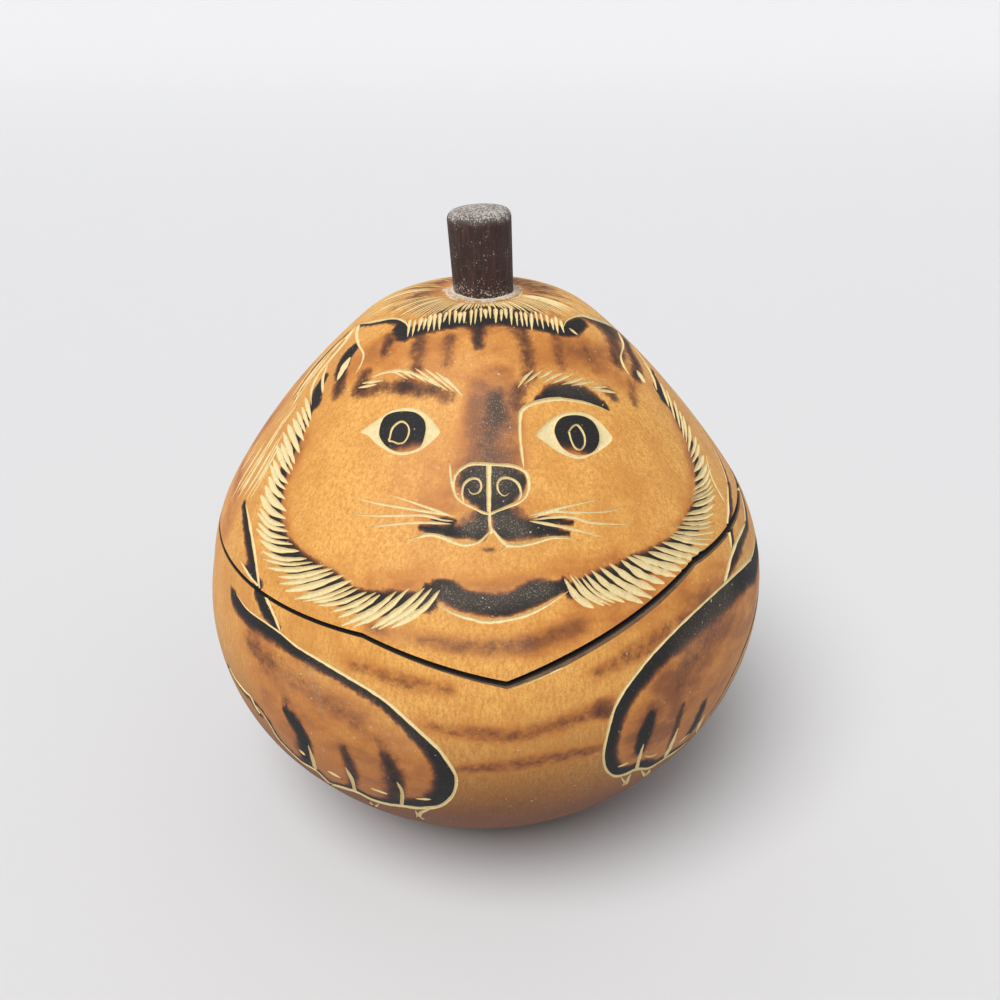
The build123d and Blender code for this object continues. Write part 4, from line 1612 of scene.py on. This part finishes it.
def level_ring(steps, chart):
    """Chart points of a level ring."""
    return to_chart(np.linspace(-math.pi, math.pi, steps, endpoint=False), chart)


def between_rings(upper, lower):
    """Test for chart points between two chart values, each fixed or given round the saw cut."""
    upper = np.broadcast_to(upper, ROUND_TRIP.shape)
    lower = np.broadcast_to(lower, ROUND_TRIP.shape)

    def test(points):
        azimuth, chart = from_chart(points)
        above = np.interp(azimuth, ROUND_TRIP, upper, period=2 * math.pi)
        below = np.interp(azimuth, ROUND_TRIP, lower, period=2 * math.pi)
        return (chart > above) & (chart < below)

    return test


def carved_shell(points, faces, depth):
    """Shell of one half with its carved skin in it, and the rings of border vertices of that skin."""
    shell = Shell()
    shell.add(skin_points(points, depth))
    shell.face(faces, SKIN_GROUP)
    return shell, border_loops(faces, points)


class GOURD_OT_carved_lid(bpy.types.Operator):
    """Makes the upper half of the gourd with the cat's face carved in it"""
    bl_idname = "gourd.carved_lid"
    bl_label = "Carved lid"

    def execute(self, context):
        marks = skin_marks()
        inner = Outline(context.scene.gourd_skin.wall / MILLIMETRE)
        hole_chart = math.log(HOLE_RADIUS)
        lift = SAW_GAP + LID_WEAR_SHARE * edge_wear(ROUND_TRIP)
        seam = SKIN.chart_at(seam_on(SKIN, ROUND_TRIP, lift))
        bounds = (to_chart(ROUND_TRIP, seam), level_ring(96, hole_chart))
        fill = fill_points(HOLE_RADIUS + 0.6, LID_WALK, LID_SPACING)
        in_lid = between_rings(hole_chart - 0.002, seam)
        carved = carve_skin(marks["grooves"], marks["eyes"], bounds, in_lid, fill)
        shell, loops = carved_shell(*carved[:3])
        (crown, crown_azimuth), (edge, edge_azimuth) = loops
        turn = shell.azimuth
        worn = shell.worn_ring(SAW_GAP)
        shell.face(zip_rings(edge, edge_azimuth, worn, turn), RIM_GROUP)
        inner_low = seam_on(inner, turn, SAW_GAP)
        last = shell.ring(inner.radius_at(inner_low), inner_low)
        shell.band(worn, last, RIM_GROUP)
        start = inner.chart_at(inner_low)
        for share in np.linspace(0.0, 1.0, 22)[1:]:
            ring = shell.inner_ring(inner, start + (hole_chart - start) * share ** 0.8)
            shell.band(last, ring, INSIDE_GROUP)
            last = ring
        shell.face(zip_rings(last, turn, crown, crown_azimuth), INSIDE_GROUP)
        finish_shell("carved_lid", shell, worn, carved, marks, "lid", "gourd_lid")
        return {"FINISHED"}


class GOURD_OT_carved_bowl(bpy.types.Operator):
    """Makes the lower half of the gourd with the cat's paws carved in it"""
    bl_idname = "gourd.carved_bowl"
    bl_label = "Carved bowl"

    def execute(self, context):
        marks = skin_marks()
        inner = Outline(context.scene.gourd_skin.wall / MILLIMETRE)
        foot_chart = SKIN.chart[-1]
        foot_radius = SKIN.radius[-1]
        seam = SKIN.chart_at(seam_on(SKIN, ROUND_TRIP, -edge_wear(ROUND_TRIP)))
        bounds = (to_chart(ROUND_TRIP, seam), level_ring(180, foot_chart))
        fill = fill_points(BOWL_WALK, SKIN.walk[-1] - 0.5, BOWL_SPACING)
        in_bowl = between_rings(seam, foot_chart - 1e-5)
        carved = carve_skin(marks["grooves"], (), bounds, in_bowl, fill)
        shell, loops = carved_shell(*carved[:3])
        (edge, edge_azimuth), (base, base_azimuth) = loops
        turn = shell.azimuth
        worn = shell.worn_ring(0.0)
        shell.face(zip_rings(worn, turn, edge, edge_azimuth), RIM_GROUP)
        inner_high = seam_on(inner, turn, 0.0)
        last = shell.ring(inner.radius_at(inner_high), inner_high)
        shell.band(last, worn, RIM_GROUP)
        start = inner.chart_at(inner_high)
        for share in np.linspace(0.0, 1.0, 24)[1:]:
            ring = shell.inner_ring(inner, start + (inner.chart[-1] - start) * share)
            shell.band(ring, last, INSIDE_GROUP)
            last = ring
        for share in (0.66, 0.33):
            ring = shell.ring(share * inner.radius[-1], inner.height[-1])
            shell.band(ring, last, INSIDE_GROUP)
            last = ring
        shell.close(last, inner.height[-1], INSIDE_GROUP, True)
        last = shell.ring(0.8 * foot_radius, 0.0)
        shell.face(zip_rings(base, base_azimuth, last, turn), RIM_GROUP)
        ring = shell.ring(0.4 * foot_radius, 0.0)
        shell.band(last, ring, RIM_GROUP)
        shell.close(ring, 0.0, RIM_GROUP, False)
        finish_shell("carved_bowl", shell, worn, carved, marks, "bowl", "gourd_bowl")
        return {"FINISHED"}


# Peg: top and tail along its axis, which leans to the left, its radius, taper, rim and dome, its columns,
# and the ripple of its side.
PEG_TOP = 14.5
PEG_TAIL = 5.0
PEG_LEAN = math.radians(3.0)
PEG_RADIUS = 5.46
PEG_TAPER = 0.32
PEG_RIM = 1.5
PEG_DOME = 1.0
PEG_COLUMNS = 144
PEG_WAVES = (2, 3, 5, 9, 17, 31, 47)
PEG_RIPPLE = 0.09
PEG_TAKEN_IN = 0.03


def on_lean(across, along, up):
    """Points given along the peg's leaning axis and square to it, in the gourd's own frame."""
    sine = math.sin(PEG_LEAN)
    cosine = math.cos(PEG_LEAN)
    return np.stack((across * cosine - up * sine, along, across * sine + up * cosine + GOURD_HEIGHT), -1)


def grid_faces(rows, columns, closed=False):
    """Quads of a grid that is closed round its columns, and if asked round its rows as well."""
    index = np.arange(rows * columns).reshape(rows, columns)
    if closed:
        index = np.vstack((index, index[:1]))
    turned = np.roll(index, -1, axis=1)
    return np.stack((index[:-1], index[1:], turned[1:], turned[:-1]), -1).reshape(-1, 4)


class GOURD_OT_peg(bpy.types.Operator):
    """Makes the wooden peg on the crown"""
    bl_idname = "gourd.peg"
    bl_label = "Peg"

    def execute(self, context):
        points, faces = self.shape()
        piece = make_piece("peg_wood", points, faces, (self.wood(context.scene.gourd_peg),))
        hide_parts("peg")
        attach(piece, "lid")
        return {"FINISHED"}

    def shape(self):
        """Points and faces: a turned profile with a domed end, rippled like split wood."""
        chance = np.random.default_rng(5)
        bend = np.linspace(0, math.pi / 2, 9)[1:]
        end_radius = np.linspace(0.0, PEG_RADIUS - PEG_RIM, 9)[1:]
        rim_radius = PEG_RADIUS - PEG_RIM + PEG_RIM * np.sin(bend)
        radius = np.concatenate((end_radius, rim_radius, np.full(26, PEG_RADIUS)))
        dome = PEG_TOP - PEG_DOME * (end_radius / PEG_RADIUS) ** 2
        shoulder = dome[-1] - PEG_RIM * (1 - np.cos(bend))
        height = np.concatenate((dome, shoulder, np.linspace(shoulder[-1], -PEG_TAIL, 27)[1:]))
        radius -= PEG_TAPER * np.clip(1.0 - height / PEG_TOP, 0.0, 1.0) * (radius / PEG_RADIUS)
        radius = radius[:, None]
        height = height[:, None]
        turn = np.arange(PEG_COLUMNS) * 2 * math.pi / PEG_COLUMNS
        waves = [(count, chance.uniform(0, 6.28), 0.5 / count) for count in PEG_WAVES]
        ripple = sum(size * np.cos(count * turn + phase + 0.02 * height) for count, phase, size in waves)
        radius = radius + (PEG_RIPPLE * ripple - PEG_TAKEN_IN) * np.clip(radius / PEG_RADIUS, 0, 1) ** 3
        grid = on_lean(radius * np.sin(turn), -radius * np.cos(turn), np.broadcast_to(height, radius.shape))
        ends = on_lean(np.zeros(2), np.zeros(2), np.array((PEG_TOP, -PEG_TAIL)))
        rows, columns = radius.shape
        index = np.arange(columns)
        turned = np.roll(index, -1)
        tail = (rows - 1) * columns
        faces = grid_faces(rows, columns).tolist()
        faces += np.stack((np.full(columns, rows * columns), index, turned), -1).tolist()
        faces += np.stack((tail + index, np.full(columns, rows * columns + 1), tail + turned), -1).tolist()
        return np.vstack((grid.reshape(-1, 3), ends)), faces

    def wood(self, tones):
        """Dark streaked wood with dust on its end and crumbs round its foot."""
        brown_streak = (0.085, 0.034, 0.026)
        pale_crumb = (0.74, 0.69, 0.64)
        material, flow, shader = new_material("Peg wood")
        at = flow.place()
        streak = at.stretched((1.0, 1.0, 0.09)).noise(1.5, 4.0, 0.7)
        speck = at.noise(3.0, 2.0, 0.5)
        cloud = at.noise(0.5, 2.0)
        crumb = at.noise(3.4, 3.0, 0.7)
        height = at.height()
        end = (height + cloud * 0.8).between(GOURD_HEIGHT + 12.2, GOURD_HEIGHT + 14.2)
        base = 1.0 - height.between(GOURD_HEIGHT + 0.2, GOURD_HEIGHT + 4.5)
        load = 0.055 + 0.08 * cloud.between(0.45, 0.7) + 0.11 * base + 0.18 * end
        wood = flow.layers(
            colour(tones.bark),
            (streak.between(0.42, 0.7), brown_streak),
            (end * (0.3 + 0.5 * cloud), tones.end_grain),
            ((crumb + load).between(0.72, 0.8) * 0.75, pale_crumb))
        normal = bumps(streak + speck * 0.3, 0.5, 0.8)
        feed(shader, Base_Color=wood, Roughness=0.72, Normal=normal)
        return material


# Glue ring: radii, how far it spreads, its height and rise, its gap above the crown, columns and waves.
GLUE_INSIDE = 4.95
GLUE_OUTSIDE = 6.05
GLUE_SPREAD = 0.45
GLUE_HEIGHT = 0.14
GLUE_RISE = 0.30
GLUE_GAP = 0.02
GLUE_COLUMNS = 180
GLUE_WAVES = (2, 3, 5, 8, 13, 21, 34)


class GOURD_OT_glue_ring(bpy.types.Operator):
    """Makes the ring of dried glue round the foot of the peg"""
    bl_idname = "gourd.glue_ring"
    bl_label = "Glue ring"

    def execute(self, context):
        points, faces = self.shape()
        piece = make_piece("glue_ring", points, faces, (self.glue(context.scene.gourd_peg),))
        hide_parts("glue_collar")
        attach(piece, "lid")
        return {"FINISHED"}

    def shape(self):
        """Points and faces: an uneven bead that rises from its outside to the peg."""
        chance = np.random.default_rng(9)
        turn = np.arange(GLUE_COLUMNS) * 2 * math.pi / GLUE_COLUMNS
        waves = [(count, chance.uniform(0, 6.28), 1.0 / count ** 0.5) for count in GLUE_WAVES]
        uneven = sum(size * np.cos(count * turn + phase) for count, phase, size in waves)
        uneven = (uneven - uneven.min()) / np.ptp(uneven)
        outside = GLUE_OUTSIDE + GLUE_SPREAD * uneven
        high = GLUE_HEIGHT + GLUE_RISE * np.roll(uneven, 40)
        arch = np.linspace(0.0, 1.0, 11)[::-1, None]
        radius = GLUE_INSIDE + (outside - GLUE_INSIDE) * (1.0 - arch)
        height = GLUE_GAP + high * np.sqrt(np.clip(1.0 - (1.0 - arch) ** 2.2, 0.0, 1.0))
        radius = np.vstack((radius, np.full(GLUE_COLUMNS, GLUE_INSIDE)))
        height = np.vstack((height, np.full(GLUE_COLUMNS, GLUE_GAP)))
        grid = np.stack((radius * np.sin(turn), -radius * np.cos(turn), GOURD_HEIGHT + height), -1)
        return grid.reshape(-1, 3), grid_faces(*radius.shape, closed=True)

    def glue(self, tones):
        """Pale dried glue with crumbs, dirt and a worn outer edge."""
        dirty = (0.33, 0.20, 0.11)
        worn_thin = (0.58, 0.36, 0.16)
        pale_crumb = (0.84, 0.77, 0.64)
        material, flow, shader = new_material("Dried glue")
        at = flow.place()
        crumb = at.noise(1.4, 4.0, 0.7)
        dirt = at.noise(0.7, 3.0)
        spent = (at.reach() + (crumb - 0.5) * 0.9).between(5.4, 5.8)
        glue = flow.layers(
            colour(tones.glue),
            (dirt.between(0.45, 0.72) * 0.7, dirty),
            (spent * 0.92, worn_thin),
            (crumb.between(0.47, 0.6) * 0.85, pale_crumb))
        feed(shader, Base_Color=glue, Roughness=0.7, Normal=bumps(crumb, 0.6, 0.9))
        return material


def soft_sun(name, place, strength, spread_angle):
    """Sun that shines from a place towards the origin, with soft shadows."""
    lamp = bpy.data.lights.new(name, "SUN")
    lamp.energy = strength
    lamp.angle = spread_angle
    holder = bpy.data.objects.new(name, lamp)
    bpy.context.scene.collection.objects.link(holder)
    flat = math.hypot(place[0], place[1])
    holder.location = place
    holder.rotation_euler = (math.atan2(flat, place[2]), 0.0, math.atan2(place[0], -place[1]))


# Floor: half width, near edge, bend behind and top. Where the lamps shine from, and how softly.
FLOOR_HALF = 4000.0
FLOOR_NEAR = -3000.0
BEND_START = 1200.0
BEND_RADIUS = 800.0
FLOOR_TOP = 4000.0
WINDOW_PLACE = (-0.32, -0.52, 1.0)
WINDOW_SOFTNESS = math.radians(40.0)
WALL_PLACE = (0.75, -0.30, 0.55)
WALL_SOFTNESS = math.radians(60.0)


class GOURD_OT_studio(bpy.types.Operator):
    """Makes the floor, the soft lamps and the camera of the photograph"""
    bl_idname = "gourd.studio"
    bl_label = "Studio"

    def execute(self, context):
        stage = context.scene.gourd_stage
        self.floor(stage)
        soft_sun("window", WINDOW_PLACE, stage.key_power, WINDOW_SOFTNESS)
        soft_sun("wall", WALL_PLACE, stage.fill_power, WALL_SOFTNESS)
        world = bpy.data.worlds.new("Soft sky")
        world.use_nodes = True
        background = next(node for node in world.node_tree.nodes if node.type == "BACKGROUND")
        feed(background, Color=(1.0, 1.0, 1.0, 1.0), Strength=stage.sky)
        context.scene.world = world
        lens = bpy.data.cameras.new("Photo camera")
        lens.sensor_width = SENSOR
        lens.sensor_fit = "HORIZONTAL"
        lens.lens = FOCAL_PIXELS * SENSOR / FRAME_PIXELS
        lens.clip_start = 0.01
        camera = bpy.data.objects.new("Photo camera", lens)
        camera.location = CAMERA_PLACE * MILLIMETRE
        camera.rotation_euler = (math.radians(90.0 - CAMERA_TILT), 0.0, 0.0)
        context.scene.collection.objects.link(camera)
        context.scene.camera = camera
        context.scene.view_settings.view_transform = "Standard"
        return {"FINISHED"}

    def floor(self, stage):
        """Plain floor that bends up behind the box."""
        bend = np.linspace(0.0, math.pi / 2, 25)
        far = BEND_START + BEND_RADIUS
        along = np.concatenate(((FLOOR_NEAR,), BEND_START + BEND_RADIUS * np.sin(bend), (far,)))
        up = np.concatenate(((0.0,), BEND_RADIUS - BEND_RADIUS * np.cos(bend), (FLOOR_TOP,)))
        sides = [np.stack((np.full(along.size, side), along, up), -1) for side in (-FLOOR_HALF, FLOOR_HALF)]
        index = np.arange(2 * along.size).reshape(-1, 2)
        quads = np.stack((index[:-1, 0], index[:-1, 1], index[1:, 1], index[1:, 0]), -1)
        material, _, shader = new_material("Floor")
        feed(shader, Base_Color=colour(stage.floor), Roughness=0.8)
        piece = make_piece("floor", np.stack(sides, 1).reshape(-1, 3), quads, (material,))


class GOURD_PT_box(bpy.types.Panel):
    """Sizes, colours and steps of the carved gourd box"""
    bl_idname = "GOURD_PT_box"
    bl_label = "Carved gourd box"
    bl_space_type = "VIEW_3D"
    bl_region_type = "UI"
    bl_category = "Gourd"

    def draw(self, context):
        for settings in (context.scene.gourd_skin, context.scene.gourd_peg, context.scene.gourd_stage):
            column = self.layout.column()
            for name in settings.__annotations__:
                column.prop(settings, name)
        for step in STEPS:
            self.layout.operator(step.bl_idname)


STEPS = (GOURD_OT_carved_lid, GOURD_OT_carved_bowl, GOURD_OT_peg, GOURD_OT_glue_ring, GOURD_OT_studio)
SETTINGS = {"gourd_skin": GourdSkinSettings, "gourd_peg": PegSettings, "gourd_stage": StageSettings}


def register():
    """Registers the settings, the steps and the panel."""
    for name, group in SETTINGS.items():
        bpy.utils.register_class(group)
        setattr(bpy.types.Scene, name, bpy.props.PointerProperty(type=group))
    for step in STEPS:
        bpy.utils.register_class(step)
    bpy.utils.register_class(GOURD_PT_box)


def unregister():
    """Takes out what register added."""
    bpy.utils.unregister_class(GOURD_PT_box)
    for step in reversed(STEPS):
        bpy.utils.unregister_class(step)
    for name, group in SETTINGS.items():
        delattr(bpy.types.Scene, name)
        bpy.utils.unregister_class(group)


def main():
    """Dresses the box."""
    register()
    bpy.ops.gourd.carved_lid()
    bpy.ops.gourd.carved_bowl()
    bpy.ops.gourd.peg()
    bpy.ops.gourd.glue_ring()
    bpy.ops.gourd.studio()
    bpy.context.view_layer.update()


if __name__ == "__main__":
    main()
